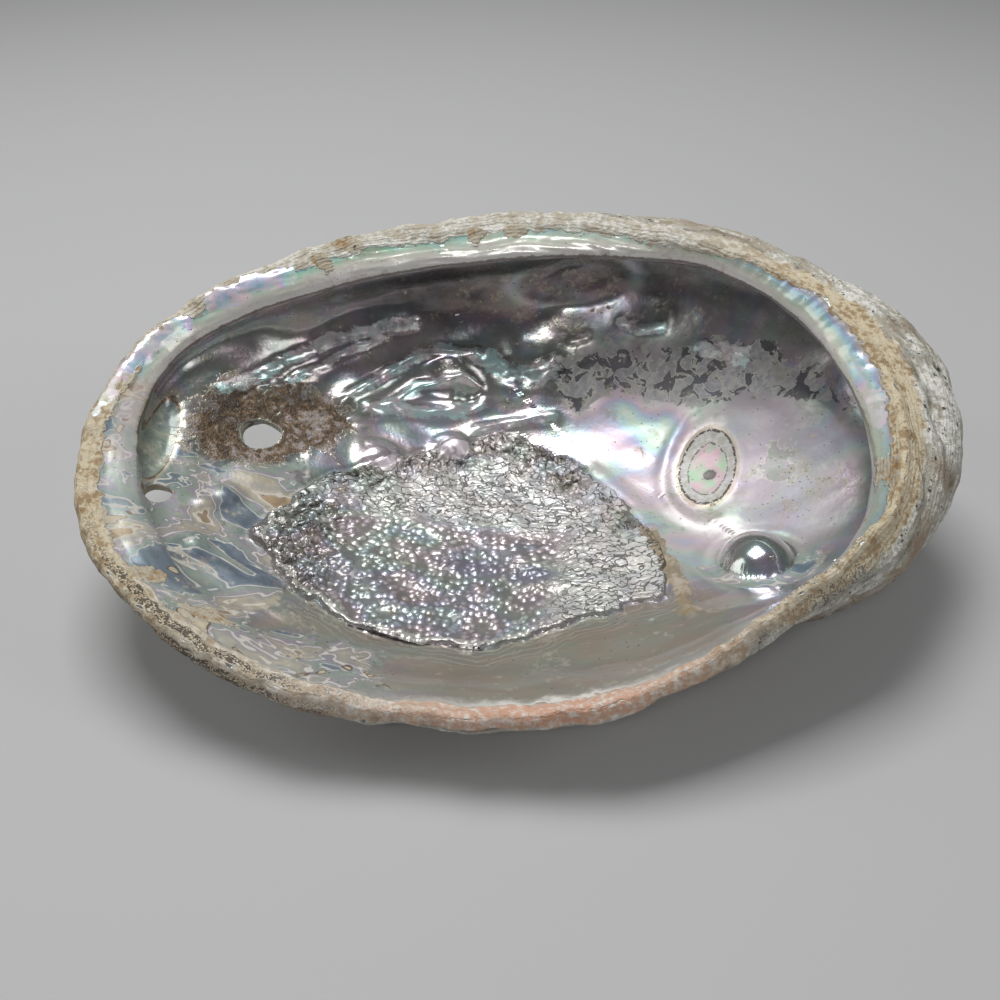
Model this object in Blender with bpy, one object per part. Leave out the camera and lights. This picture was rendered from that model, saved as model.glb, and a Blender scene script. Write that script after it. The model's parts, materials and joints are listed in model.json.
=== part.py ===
"""A large abalone shell lying on its back, hollow upwards, as one closed solid.

Two skins are drawn over a round grid: the chalky outside and the pearly inside.
Both start at the rim and end at the pole, the deepest place of the bowl.
Sixteen stations around the pole say how wide, high, bulging and thick the shell is there.
+X points to the spire end, +Y to the ledge at the back, +Z up. Z = 0 is the table.
"""

import math

import bmesh
import bpy
import numpy as np
from mathutils import Matrix, Vector, noise

MM = 0.001

# Real sizes in millimetres, in the plane of the rim: x to the spire end, y to the ledge, w up.
POLE_X = 28.0
POLE_Y = 27.0
DEPTH = 54.0  # outside depth of the pole below the rim plane
RIM_WIDTH = 3.6  # thickness of the lip at its edge
FLOOR = 5.5  # thickness of the wall at the pole

# How the shell lies on the table.
BACK_TILT = math.radians(15.0)  # the ledge side lies higher than the outer lip
SIDE_TILT = math.radians(3.0)  # the spire end lies higher than the young end
WORN = 0.9  # depth rubbed flat where the shell rests
SHIFT = (-10.1, -8.36, 45.95 - WORN)  # puts the middle of the shell's box over the origin, and its base at Z = 0

GRID = 44  # faces along one side of the square that each skin is drawn on

# One row for every 22.5 degrees around the pole, starting at the spire end and going to the back.
# radius, height: the rim. launch: angle below level at which the outside leaves the rim.
# bulge: how strongly it does so. reach: share of the radius over which the base stays low.
# ledge, drop: width of the inner ledge and how far it slopes down. fold: 1 where the ledge is full, 0 for none.
# top, wall: thickness of the wall under the ledge and lower down.
COLUMNS = ("radius", "height", "launch", "bulge", "reach", "ledge", "drop", "fold", "top", "wall")
STATIONS = (
    (64.0, 2.5, 2, 60, 0.74, 8.0, 5.0, 1.0, 11.0, 7.0),  # spire end
    (54.0, 2.0, 2, 52, 0.66, 6.0, 4.5, 1.0, 11.0, 7.0),
    (49.0, 1.5, 4, 46, 0.60, 6.0, 4.5, 1.0, 11.0, 7.0),
    (47.0, 1.0, 8, 42, 0.56, 9.0, 4.5, 1.0, 12.0, 6.5),
    (50.5, 0.5, 20, 34, 0.54, 13.0, 4.5, 1.0, 12.0, 6.0),  # back
    (57.0, 0.0, 58, 28, 0.53, 15.0, 4.5, 1.0, 11.0, 6.0),
    (69.0, 0.0, 66, 28, 0.50, 16.0, 5.0, 1.0, 9.0, 5.5),
    (93.0, 1.0, 80, 30, 0.44, 16.0, 5.5, 1.0, 7.0, 5.5),
    (120.5, 2.0, 106, 30, 0.38, 9.0, 5.0, 0.95, 5.5, 5.5),  # young end
    (133.0, 1.5, 118, 30, 0.30, 15.0, 5.0, 0.7, 5.0, 5.0),
    (126.0, -2.0, 124, 29, 0.20, 12.0, 5.0, 0.25, 4.5, 4.5),
    (111.0, -7.5, 127, 28, 0.14, 10.0, 5.0, 0.0, 4.5, 4.5),
    (101.5, -5.5, 122, 28, 0.12, 10.0, 5.0, 0.0, 5.0, 4.5),  # outer lip
    (90.5, -0.5, 80, 32, 0.18, 10.0, 5.0, 0.15, 6.5, 5.0),
    (86.5, 1.5, 45, 42, 0.42, 11.0, 5.0, 0.6, 9.0, 6.0),
    (76.5, 2.5, 18, 54, 0.66, 11.5, 5.0, 0.9, 11.0, 7.0),
)
STATION = {name: [row[i] for row in STATIONS] for i, name in enumerate(COLUMNS)}

# The row of breathing pores, from the young end to the tip of the spire, where it coils in.
PORE_ROW = (
    (-64.0, 19.0), (-40.0, 38.0), (-12.0, 51.0), (17.0, 55.0), (42.0, 50.0), (62.0, 38.0),
    (73.0, 22.0), (68.0, 8.0), (56.0, 6.0), (50.0, 15.0), (56.0, 22.0),
)
SPIRE_TIP = (59.0, 17.0)
# Centre on the inner face, direction of the pore's axis, half its length and half its width.
OPEN_PORES = (
    ((-63.5, 18.7, -23.7), (0.10, -0.42, 0.90), 5.6, 4.6),
    ((-82.0, -11.0, -12.0), (0.25, -0.35, 0.90), 4.2, 3.4),
)
SCAR_OUTLINE = (
    (-47.0, 8.0), (-22.0, 24.0), (2.0, 36.0), (22.0, 26.0), (36.0, 6.0), (43.0, -16.0),
    (42.0, -34.0), (22.0, -41.0), (-3.0, -51.0), (-28.0, -47.0), (-48.0, -34.0), (-61.0, -16.0),
)

LOOKS = {"color": (0.46, 0.43, 0.38), "roughness": 0.45, "metallic": 0.0}


def around(name, direction):
    """The station value called name at each direction in degrees, as a smooth closed curve."""
    values = np.asarray(STATION[name], float)
    count = len(values)
    place = (np.asarray(direction) / 360 * count) % count
    i = np.floor(place).astype(int)
    f = place - i
    a, b, c, d = (values[(i + step) % count] for step in (-1, 0, 1, 2))
    return b + 0.5 * f * (c - a + f * (2 * a - 5 * b + 4 * c - d + f * (3 * b - 3 * c + d - a)))


def wall_point(direction, share, depth_in=0.0):
    """Radius and height on the outside wall, share of the way to the pole, moved depth_in inwards."""
    radius = around("radius", direction)
    launch = np.radians(around("launch", direction))
    bulge = around("bulge", direction)
    low = np.full_like(radius, -DEPTH)
    start = np.stack([radius, around("height", direction) - 0.5 * RIM_WIDTH])
    first = start + bulge * np.stack([np.cos(launch), -np.sin(launch)])
    second = np.stack([around("reach", direction) * radius, low])
    end = np.stack([0 * radius, low])
    rest = 1 - share
    point = rest**3 * start + 3 * rest**2 * share * first + 3 * rest * share**2 * second
    point = point + share**3 * end
    along = rest**2 * (first - start) + 2 * rest * share * (second - first) + share**2 * (end - second)
    along = along / np.linalg.norm(along, axis=0)
    return point + depth_in * np.stack([along[1], -along[0]])


def curve_through(keys, t):
    """The smooth curve through the keys at share t of its length. It ends level, at the pole."""
    keys = np.asarray(keys)
    chord = np.linalg.norm(np.diff(keys, axis=0), axis=1)
    knot = np.concatenate([0 * chord[:1], np.cumsum(chord, axis=0)])
    slope = np.diff(keys, axis=0) / chord[:, None]
    last = len(keys) - 2
    bends = [slope[0]]
    for i in range(last):
        near, far = chord[i], chord[i + 1]
        bends.append((slope[i] * far + slope[i + 1] * near) / (near + far))
    bends.append(np.stack([-np.ones_like(t), np.zeros_like(t)]))
    length = np.clip(t, 0, 1) * knot[-1]
    out = np.array(keys[0])
    for i in range(last + 1):
        f = (length - knot[i]) / chord[i]
        piece = (2 * f**3 - 3 * f**2 + 1) * keys[i] + (3 * f**2 - 2 * f**3) * keys[i + 1]
        piece = piece + chord[i] * ((f**3 - 2 * f**2 + f) * bends[i] + (f**3 - f**2) * bends[i + 1])
        out = np.where((length >= knot[i]) | (i == 0), piece, out)
    return out


def outside(direction, t):
    """The outer skin, from the rim (t = 0) to the pole (t = 1), as radius and height."""
    rim = np.stack([around("radius", direction) - 0.3 * RIM_WIDTH, around("height", direction)])
    keys = [rim]
    for share in (0.0, 0.12, 0.26, 0.4, 0.55, 0.7, 0.85, 1.0):
        keys.append(wall_point(direction, share))
    return curve_through(keys, t)


def inside(direction, t):
    """The inner skin: rim, sloping ledge, rounded lip, hollow under it, then the wall and the floor."""
    radius = around("radius", direction)
    height = around("height", direction)
    drop = around("drop", direction)
    fold = np.clip(around("fold", direction), 0, 1)
    top = around("top", direction)
    wall = around("wall", direction)
    edge = radius - 0.6 * RIM_WIDTH
    ledge = around("ledge", direction) - 0.6 * RIM_WIDTH
    folded = (
        (edge - 0.22 * ledge, height - 0.12 * drop),
        (edge - 0.58 * ledge, height - 0.42 * drop),
        (edge - 0.88 * ledge, height - 0.82 * drop),
        (edge - ledge, height - drop - 1.1),
        (edge - ledge + 1.7, height - drop - 3.6),
    )
    plain = ((0.03, 0.85 * RIM_WIDTH), (0.07, 0.85 * wall), (0.11, wall), (0.145, wall), (0.18, wall))
    keys = [np.stack([edge, height - 0.1])]
    for place, (share, thick) in zip(folded, plain):
        keys.append(fold * np.stack(place) + (1 - fold) * wall_point(direction, share, thick))
    keys.append(wall_point(direction, 0.25, top))
    keys.append(wall_point(direction, 0.35, 0.5 * (top + wall)))
    for share in (0.47, 0.6, 0.74, 0.87, 1.0):
        keys.append(wall_point(direction, share, wall * (1 - share) + FLOOR * share))
    return curve_through(keys, t)


def disc_points(square):
    """Direction in degrees and distance from the middle, for points of a square drawn as a disc."""
    a, b = square[:, 0], square[:, 1]
    wide = np.abs(a) >= np.abs(b)
    long_side = np.where(wide, a, b)
    safe = np.where(long_side == 0, 1, long_side)
    turn = 45 * np.where(wide, b, a) / safe
    direction = np.where(wide, turn, 90 - turn) + np.where(long_side < 0, 180, 0)
    return direction % 360, np.abs(long_side)


def dome(x, y, centre, size, height):
    """A soft round lump."""
    far = ((x - centre[0]) ** 2 + (y - centre[1]) ** 2) / size**2
    return height * np.exp(-(far**1.5))


def ring(x, y, centre, size, thick, height):
    """A soft ring-shaped ridge."""
    far = np.hypot(x - centre[0], y - centre[1])
    return height * np.exp(-(((far - size) / thick) ** 2))


def lumps(points, grain, seed):
    """Soft random lumps about grain millimetres wide, from -1 to 1."""
    where = Vector((seed * 17.0, seed * 5.0, seed * 9.0))
    return np.array([noise.noise(Vector(p) / grain + where) for p in points])


def scar_share(x, y):
    """1 on the rough muscle scar, 0 off it, with a narrow soft edge."""
    inside_it = np.zeros(len(x), bool)
    nearest = np.full(len(x), 1e9)
    count = len(SCAR_OUTLINE)
    for i in range(count):
        (ax, ay), (bx, by) = SCAR_OUTLINE[i], SCAR_OUTLINE[(i + 1) % count]
        share = np.clip(((x - ax) * (bx - ax) + (y - ay) * (by - ay)) / ((bx - ax) ** 2 + (by - ay) ** 2), 0, 1)
        nearest = np.minimum(nearest, np.hypot(x - ax - share * (bx - ax), y - ay - share * (by - ay)))
        crosses = (ay > y) != (by > y)
        at = ax + (y - ay) * (bx - ax) / np.where(by == ay, 1, by - ay)
        inside_it ^= crosses & (x < at)
    return np.clip(0.5 + np.where(inside_it, nearest, -nearest) / 3.0, 0, 1)


def inside_relief(points, t):
    """Height added to the inner skin: scar, spire ring, blister pearls, healed pores and folds."""
    x, y, w = points.T
    low = np.clip((-8 - w) / 6, 0, 1)
    scar = scar_share(x, y) * low
    height = scar * (1.1 + 1.1 * lumps(points, 7, 1))
    height += ring(x, y, SPIRE_TIP, 7.4, 1.8, 1.8) - dome(x, y, SPIRE_TIP, 4.0, 1.8)
    height += ring(x, y, SPIRE_TIP, 13.5, 2.6, 1.0)
    height += dome(x, y, (66.0, -19.0), 7.5, 6.0)
    height += dome(x, y, (-12.0, 51.0), 8.0, 3.2) + dome(x, y, (-40.0, 40.0), 7.0, 1.8)
    height += dome(x, y, (28.0, 49.0), 6.0, 1.6) - dome(x, y, (10.0, 60.0), 7.0, 1.5) * low
    height += dome(x, y, (-32.0, 20.0), 4.5, 2.0) + dome(x, y, (-13.0, 28.0), 4.5, 2.2)
    height += dome(x, y, (-73.0, -25.0), 5.0, 1.6) - dome(x, y, (-78.0, 2.0), 9.0, 1.0) * low
    height += 0.6 * (1 - scar) * low * lumps(points * (0.6, 1.3, 1.3), 14, 2)
    height += 0.35 * lumps(points, 9, 3) * np.clip(t / 0.04, 0, 1)
    return height


def outside_relief(points, direction, t):
    """Height added to the outer skin: growth steps, the row of pores, the spire and worn lumps."""
    x, y, _ = points.T
    wander = lumps(points, 30, 4)
    steps = np.sin(2 * np.pi * (5.5 * t + 0.35 * wander)) * np.clip(t / 0.05, 0, 1) * np.clip((0.8 - t) / 0.3, 0, 1)
    height = 0.9 * steps + 0.9 * lumps(points, 11, 5) + 0.6 * lumps(points, 5, 6)
    height *= np.clip((t + 0.02) / 0.08, 0.2, 1)
    for i, centre in enumerate(PORE_ROW[1:]):
        size = 6.5 - 0.4 * i
        height += dome(x, y, centre, size, 2.4 - 0.12 * i) * np.clip(t / 0.1, 0, 1)
    far = np.hypot(x - SPIRE_TIP[0], y - SPIRE_TIP[1])
    coil = np.arctan2(y - SPIRE_TIP[1], x - SPIRE_TIP[0]) - 2.6 * np.log(far / 4 + 0.4)
    height += 0.9 * np.cos(coil) * np.exp(-((far / 22) ** 2))
    return height


def world_frame():
    """From the rim plane to the table: the two tilts, then the shift."""
    tilt = Matrix.Rotation(BACK_TILT, 4, "X") @ Matrix.Rotation(-SIDE_TILT, 4, "Y")
    return Matrix.Translation(Vector(SHIFT)) @ tilt


def skin(bm, profile, relief):
    """Adds one skin to the mesh: a square grid, laid over the disc and moved out to the profile."""
    made = bmesh.ops.create_grid(bm, x_segments=GRID, y_segments=GRID, size=1.0)
    verts = made["verts"]
    direction, far = disc_points(np.array([v.co[:2] for v in verts]))
    t = 1 - far
    radius, height = profile(direction, t)
    angle = np.radians(direction)
    points = np.stack([POLE_X + radius * np.cos(angle), POLE_Y + radius * np.sin(angle), height], axis=1)
    for vert, point in zip(verts, points):
        vert.co = point
    bm.normal_update()
    normals = np.array([v.normal[:] for v in verts])
    normals *= np.where(normals[:, 2].mean() > 0, 1.0, -1.0)
    raised = points + normals * relief(points, direction, t)[:, None]
    for vert, point in zip(verts, raised):
        vert.co = point
    return [edge for edge in {e for v in verts for e in v.link_edges} if edge.is_boundary]


def shell_mesh():
    """The closed shell in metres, standing on Z = 0."""
    bm = bmesh.new()
    edges = skin(bm, outside, lambda p, d, t: -outside_relief(p, d, t))
    edges += skin(bm, inside, lambda p, d, t: inside_relief(p, t))
    bmesh.ops.bridge_loops(bm, edges=edges)
    bmesh.ops.recalc_face_normals(bm, faces=bm.faces)
    bmesh.ops.transform(bm, matrix=world_frame(), verts=bm.verts)
    for vert in bm.verts:
        vert.co.z = max(vert.co.z, 0.0)
    bmesh.ops.scale(bm, vec=(MM, MM, MM), verts=bm.verts)
    bmesh.ops.triangulate(bm, faces=bm.faces)
    mesh = bpy.data.meshes.new("shell")
    bm.to_mesh(mesh)
    bm.free()
    return mesh


def pore_cutter(name, centre, axis, half_long, half_wide, collection):
    """An oval rod through the wall."""
    mesh = bpy.data.meshes.new(name)
    bm = bmesh.new()
    bmesh.ops.create_cone(bm, cap_ends=True, segments=20, radius1=1.0, radius2=1.0, depth=1.0)
    bmesh.ops.scale(bm, vec=(half_long * MM, half_wide * MM, 24 * MM), verts=bm.verts)
    bm.to_mesh(mesh)
    bm.free()
    cutter = bpy.data.objects.new(name, mesh)
    frame = world_frame()
    upright = frame.to_3x3() @ Vector(axis)
    cutter.rotation_euler = upright.to_track_quat("Z", "Y").to_euler()
    cutter.location = (frame @ Vector(centre)) * MM
    cutter.hide_render = True
    cutter.display_type = "WIRE"
    collection.objects.link(cutter)
    return cutter


def shell_material():
    material = bpy.data.materials.new("nacre")
    material.use_nodes = True
    shader = material.node_tree.nodes["Principled BSDF"]
    shader.inputs["Base Color"].default_value = (*LOOKS["color"], 1)
    shader.inputs["Roughness"].default_value = LOOKS["roughness"]
    shader.inputs["Metallic"].default_value = LOOKS["metallic"]
    return material


def collection_named(name):
    collection = bpy.data.collections.new(name)
    bpy.context.scene.collection.children.link(collection)
    return collection


def main():
    for obj in list(bpy.data.objects):
        bpy.data.objects.remove(obj, do_unlink=True)
    parts = collection_named("abalone_shell")
    cutters = collection_named("cutters")
    mesh = shell_mesh()
    mesh.materials.append(shell_material())
    shell = bpy.data.objects.new("shell", mesh)
    parts.objects.link(shell)
    for i, (centre, axis, half_long, half_wide) in enumerate(OPEN_PORES):
        cutter = pore_cutter(f"pore_{i + 1}", centre, axis, half_long, half_wide, cutters)
        cut = shell.modifiers.new(cutter.name, "BOOLEAN")
        cut.operation = "DIFFERENCE"
        cut.solver = "EXACT"
        cut.object = cutter
    mesh.shade_smooth()
    mesh.set_sharp_from_angle(angle=math.radians(60))


if __name__ == "__main__":
    main()
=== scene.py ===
"""Looks of a large abalone shell lying on its back.

The shell is one closed mesh of two skins that meet at the rim, drawn over round grids.
The muscle scar is a crust of its own, sunk into the bowl's floor, with a finer surface.
The base shape repeats the solid's own, and finer relief is laid over all skins.
Lengths are in millimetres in the plane of the rim: x to the spire end, y to the ledge, w up.
"""

import json
import math

import bmesh
import bpy
import numpy as np
from mathutils import Matrix, Vector, noise

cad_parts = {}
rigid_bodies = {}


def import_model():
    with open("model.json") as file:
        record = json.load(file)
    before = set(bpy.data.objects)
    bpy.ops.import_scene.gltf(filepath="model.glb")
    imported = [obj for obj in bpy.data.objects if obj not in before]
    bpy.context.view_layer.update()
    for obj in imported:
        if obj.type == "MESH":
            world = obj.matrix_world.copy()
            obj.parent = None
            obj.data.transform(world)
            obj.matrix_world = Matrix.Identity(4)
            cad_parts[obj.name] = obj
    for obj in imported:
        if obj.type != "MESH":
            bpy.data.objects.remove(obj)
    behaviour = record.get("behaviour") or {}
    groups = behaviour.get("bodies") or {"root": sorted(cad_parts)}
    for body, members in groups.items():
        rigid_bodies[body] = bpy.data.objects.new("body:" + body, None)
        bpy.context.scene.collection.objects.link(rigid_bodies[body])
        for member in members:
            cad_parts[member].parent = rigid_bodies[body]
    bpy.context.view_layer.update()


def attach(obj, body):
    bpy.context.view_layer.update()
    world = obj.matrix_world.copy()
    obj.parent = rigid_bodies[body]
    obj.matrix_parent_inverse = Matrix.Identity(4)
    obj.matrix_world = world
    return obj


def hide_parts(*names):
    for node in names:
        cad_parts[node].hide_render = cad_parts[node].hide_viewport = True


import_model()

MM = 0.001

# The shape of the solid.
POLE_X = 28.0
POLE_Y = 27.0
DEPTH = 54.0  # outside depth of the pole below the rim plane
RIM_WIDTH = 3.6  # thickness of the lip at its edge
FLOOR = 5.5  # thickness of the wall at the pole
BACK_TILT = math.radians(15.0)
SIDE_TILT = math.radians(3.0)
WORN = 0.9  # depth rubbed flat where the shell rests
SHIFT = (-10.1, -8.36, 45.95 - WORN)

# One row for every 22.5 degrees around the pole, starting at the spire end and going to the back.
COLUMNS = ("radius", "height", "launch", "bulge", "reach", "ledge", "drop", "fold", "top", "wall")
STATIONS = (
    (64.0, 2.5, 2, 60, 0.74, 8.0, 5.0, 1.0, 11.0, 7.0),  # spire end
    (54.0, 2.0, 2, 52, 0.66, 6.0, 4.5, 1.0, 11.0, 7.0),
    (49.0, 1.5, 4, 46, 0.60, 6.0, 4.5, 1.0, 11.0, 7.0),
    (47.0, 1.0, 8, 42, 0.56, 9.0, 4.5, 1.0, 12.0, 6.5),
    (50.5, 0.5, 20, 34, 0.54, 13.0, 4.5, 1.0, 12.0, 6.0),  # back
    (57.0, 0.0, 58, 28, 0.53, 15.0, 4.5, 1.0, 11.0, 6.0),
    (69.0, 0.0, 66, 28, 0.50, 16.0, 5.0, 1.0, 9.0, 5.5),
    (93.0, 1.0, 80, 30, 0.44, 16.0, 5.5, 1.0, 7.0, 5.5),
    (120.5, 2.0, 106, 30, 0.38, 9.0, 5.0, 0.95, 5.5, 5.5),  # young end
    (133.0, 1.5, 118, 30, 0.30, 15.0, 5.0, 0.7, 5.0, 5.0),
    (126.0, -2.0, 124, 29, 0.20, 12.0, 5.0, 0.25, 4.5, 4.5),
    (111.0, -7.5, 127, 28, 0.14, 10.0, 5.0, 0.0, 4.5, 4.5),
    (101.5, -5.5, 122, 28, 0.12, 10.0, 5.0, 0.0, 5.0, 4.5),  # outer lip
    (90.5, -0.5, 80, 32, 0.18, 10.0, 5.0, 0.15, 6.5, 5.0),
    (86.5, 1.5, 45, 42, 0.42, 11.0, 5.0, 0.6, 9.0, 6.0),
    (76.5, 2.5, 18, 54, 0.66, 11.5, 5.0, 0.9, 11.0, 7.0),
)
STATION = {name: [row[i] for row in STATIONS] for i, name in enumerate(COLUMNS)}
PORE_ROW = (
    (-64.0, 19.0), (-40.0, 38.0), (-12.0, 51.0), (17.0, 55.0), (42.0, 50.0), (62.0, 38.0),
    (73.0, 22.0), (68.0, 8.0), (56.0, 6.0), (50.0, 15.0), (56.0, 22.0),
)
SPIRE_TIP = (59.0, 17.0)
OPEN_PORES = (
    ((-63.5, 18.7, -23.7), (0.10, -0.42, 0.90), 5.2, 4.6),
    ((-82.0, -11.0, -12.0), (0.25, -0.35, 0.90), 3.3, 2.7),
)
SCAR_OUTLINE = (
    (-47.0, 8.0), (-22.0, 24.0), (2.0, 36.0), (22.0, 26.0), (36.0, 6.0), (43.0, -16.0),
    (42.0, -34.0), (22.0, -41.0), (-3.0, -51.0), (-28.0, -47.0), (-48.0, -34.0), (-61.0, -16.0),
)

# The fine surface.
INSIDE_GRID = 244  # faces along the side of the square that the inner skin is drawn on
OUTSIDE_GRID = 188
SCAR_GRID = 306  # the muscle scar is a crust of its own on the floor, with a finer surface
SCAR_BASE_GRID = 48
SCAR_MIDDLE = (-6.0, -8.0)
SCAR_MARGIN = 3.6  # how far the crust reaches past its outline, under the nacre around it
SCAR_THICK = 3.4
BEAD_SPACING = 1.9

FLAKE = ((41.0, -8.0), (43.5, -19.0), (45.5, -30.0), (46.0, -42.0))  # loose edge of the scar
STAIN_OUTLINE = (
    (-82.0, 21.0), (-75.0, 30.0), (-65.0, 36.0), (-53.0, 40.0), (-42.0, 37.0),
    (-39.0, 29.0), (-48.0, 18.0), (-59.0, 7.0), (-72.0, 2.0), (-79.0, 9.0),
)
ETCHED_OUTLINE = (
    (19.0, 56.0), (37.0, 59.0), (55.0, 54.0), (71.0, 50.0), (86.0, 38.0), (96.0, 24.0),
    (85.0, 28.0), (70.0, 37.0), (54.0, 40.0), (37.0, 46.0), (23.0, 45.0),
)
# Centre and half-widths of crusty patches on the ledge.
LEDGE_PATCHES = (
    ((-40.6, 67.3), 6, 3), ((-47.0, 61.0), 4, 3), ((-4.0, 71.4), 3, 3), ((7.4, 72.1), 4, 2.5),
    ((69.6, 63.7), 6, 2.5), ((89.5, 51.6), 6, 4), ((-74.8, -41.2), 6, 3), ((-41.0, -58.0), 7, 3),
    ((92.0, -20.0), 3, 6), ((97.0, 20.0), 3, 8), ((-60.0, -50.0), 8, 3),
)
# Course, half-width and height of the folds on the back wall; a painted highlight makes their crests
# bright.
WALL_FOLDS = (
    (((-73.0, 28.0), (-67.0, 34.0), (-58.0, 44.0), (-47.0, 53.0), (-33.0, 60.0), (-24.0, 63.0)), 1.5, 1.2),
    (((-58.0, 38.0), (-45.0, 50.0), (-33.0, 58.0)), 1.1, 0.8),
    (((-43.0, 38.0), (-32.0, 49.0), (-25.0, 54.0), (-17.0, 58.0), (-6.0, 58.0)), 1.5, 1.5),
    (((-6.0, 58.0), (0.0, 56.0), (6.0, 53.5), (12.0, 54.0), (17.0, 56.0)), 3.0, 1.6),
    (((-31.0, 39.0), (-23.0, 47.0), (-16.0, 49.0), (-10.0, 51.0), (-6.0, 49.0)), 1.6, 1.2),
    (((-36.0, 36.0), (-27.0, 38.5), (-19.0, 39.0), (-12.0, 41.0), (-5.0, 44.0)), 2.4, 1.3),
    (((-6.0, 35.0), (2.0, 38.0), (11.0, 40.5), (17.0, 41.0)), 1.9, 1.0),
    (((23.0, 62.0), (28.0, 62.5)), 1.2, 0.5),
    (((38.0, 64.0), (44.0, 61.5), (50.0, 60.5)), 1.6, 0.7),
    (((60.0, 52.5), (66.0, 49.5), (72.0, 45.5)), 2.0, 0.7),
)
# Bright strips and turquoise spots of nacre on the ledge, their brightness a painted highlight: course and
# half-width.
LEDGE_GLEAMS = (
    (((-97.0, 4.0), (-95.0, 15.0), (-89.0, 27.0), (-81.0, 37.0)), 2.6),
    (((-74.0, 45.0), (-66.0, 51.0), (-56.0, 56.0)), 3.0),
    (((92.0, -4.0), (92.5, 2.0)), 3.0),
    (((90.0, 7.0), (88.5, 13.0)), 2.4),
)
CREAM_SPOTS = ((320, 40), (200, 26), (5, 30))  # direction and width of each, in degrees, on the lip
PEARL = (66.0, -20.0)
PEARL_RADIUS = 9.2
EYE = (59.3, 16.7)
EYE_HALF_WIDE = 7.6
EYE_HALF_HIGH = 12.4


def around(name, direction):
    """The station value called name at each direction in degrees, as a smooth closed curve."""
    values = np.asarray(STATION[name], float)
    count = len(values)
    place = (np.asarray(direction) / 360 * count) % count
    i = np.floor(place).astype(int)
    f = place - i
    a, b, c, d = (values[(i + step) % count] for step in (-1, 0, 1, 2))
    return b + 0.5 * f * (c - a + f * (2 * a - 5 * b + 4 * c - d + f * (3 * b - 3 * c + d - a)))


def wall_point(direction, share, depth_in=0.0):
    """Radius and height on the outside wall, share of the way to the pole, moved depth_in inwards."""
    radius = around("radius", direction)
    launch = np.radians(around("launch", direction))
    bulge = around("bulge", direction)
    low = np.full_like(radius, -DEPTH)
    start = np.stack([radius, around("height", direction) - 0.5 * RIM_WIDTH])
    first = start + bulge * np.stack([np.cos(launch), -np.sin(launch)])
    second = np.stack([around("reach", direction) * radius, low])
    end = np.stack([0 * radius, low])
    rest = 1 - share
    point = rest**3 * start + 3 * rest**2 * share * first + 3 * rest * share**2 * second
    point = point + share**3 * end
    along = rest**2 * (first - start) + 2 * rest * share * (second - first) + share**2 * (end - second)
    along = along / np.linalg.norm(along, axis=0)
    return point + depth_in * np.stack([along[1], -along[0]])


def curve_through(keys, t):
    """The smooth curve through the keys at share t of its length. It ends level, at the pole."""
    keys = np.asarray(keys)
    chord = np.linalg.norm(np.diff(keys, axis=0), axis=1)
    knot = np.concatenate([0 * chord[:1], np.cumsum(chord, axis=0)])
    slope = np.diff(keys, axis=0) / chord[:, None]
    last = len(keys) - 2
    bends = [slope[0]]
    for i in range(last):
        near, far = chord[i], chord[i + 1]
        bends.append((slope[i] * far + slope[i + 1] * near) / (near + far))
    bends.append(np.stack([-np.ones_like(t), np.zeros_like(t)]))
    length = np.clip(t, 0, 1) * knot[-1]
    out = np.array(keys[0])
    for i in range(last + 1):
        f = (length - knot[i]) / chord[i]
        piece = (2 * f**3 - 3 * f**2 + 1) * keys[i] + (3 * f**2 - 2 * f**3) * keys[i + 1]
        piece = piece + chord[i] * ((f**3 - 2 * f**2 + f) * bends[i] + (f**3 - f**2) * bends[i + 1])
        out = np.where((length >= knot[i]) | (i == 0), piece, out)
    return out, length


def outside(direction, t):
    """The outer skin, from the rim (t = 0) to the pole (t = 1)."""
    rim = np.stack([around("radius", direction) - 0.3 * RIM_WIDTH, around("height", direction)])
    keys = [rim]
    for share in (0.0, 0.12, 0.26, 0.4, 0.55, 0.7, 0.85, 1.0):
        keys.append(wall_point(direction, share))
    return curve_through(keys, t)


def inside(direction, t):
    """The inner skin: rim, sloping ledge, rounded lip, hollow under it, then the wall and the floor."""
    radius = around("radius", direction)
    height = around("height", direction)
    drop = around("drop", direction)
    fold = np.clip(around("fold", direction), 0, 1)
    top = around("top", direction)
    wall = around("wall", direction)
    edge = radius - 0.6 * RIM_WIDTH
    ledge = around("ledge", direction) - 0.6 * RIM_WIDTH
    folded = (
        (edge - 0.22 * ledge, height - 0.12 * drop),
        (edge - 0.58 * ledge, height - 0.42 * drop),
        (edge - 0.88 * ledge, height - 0.82 * drop),
        (edge - ledge, height - drop - 1.1),
        (edge - ledge + 1.7, height - drop - 3.6),
    )
    plain = ((0.03, 0.85 * RIM_WIDTH), (0.07, 0.85 * wall), (0.11, wall), (0.145, wall), (0.18, wall))
    keys = [np.stack([edge, height - 0.1])]
    for place, (share, thick) in zip(folded, plain):
        keys.append(fold * np.stack(place) + (1 - fold) * wall_point(direction, share, thick))
    keys.append(wall_point(direction, 0.25, top))
    keys.append(wall_point(direction, 0.35, 0.5 * (top + wall)))
    for share in (0.47, 0.6, 0.74, 0.87, 1.0):
        keys.append(wall_point(direction, share, wall * (1 - share) + FLOOR * share))
    return curve_through(keys, t)


def disc_points(square):
    """Direction in degrees and distance from the middle, for points of a square drawn as a disc."""
    a, b = square[:, 0], square[:, 1]
    wide = np.abs(a) >= np.abs(b)
    long_side = np.where(wide, a, b)
    safe = np.where(long_side == 0, 1, long_side)
    turn = 45 * np.where(wide, b, a) / safe
    direction = np.where(wide, turn, 90 - turn) + np.where(long_side < 0, 180, 0)
    return direction % 360, np.abs(long_side)


def round_grid(count):
    """Direction and distance from the middle for a square grid of count faces a side."""
    line = np.linspace(-1, 1, count + 1)
    square = np.stack(np.meshgrid(line, line, indexing="ij"), axis=-1).reshape(-1, 2)
    return disc_points(square)


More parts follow.
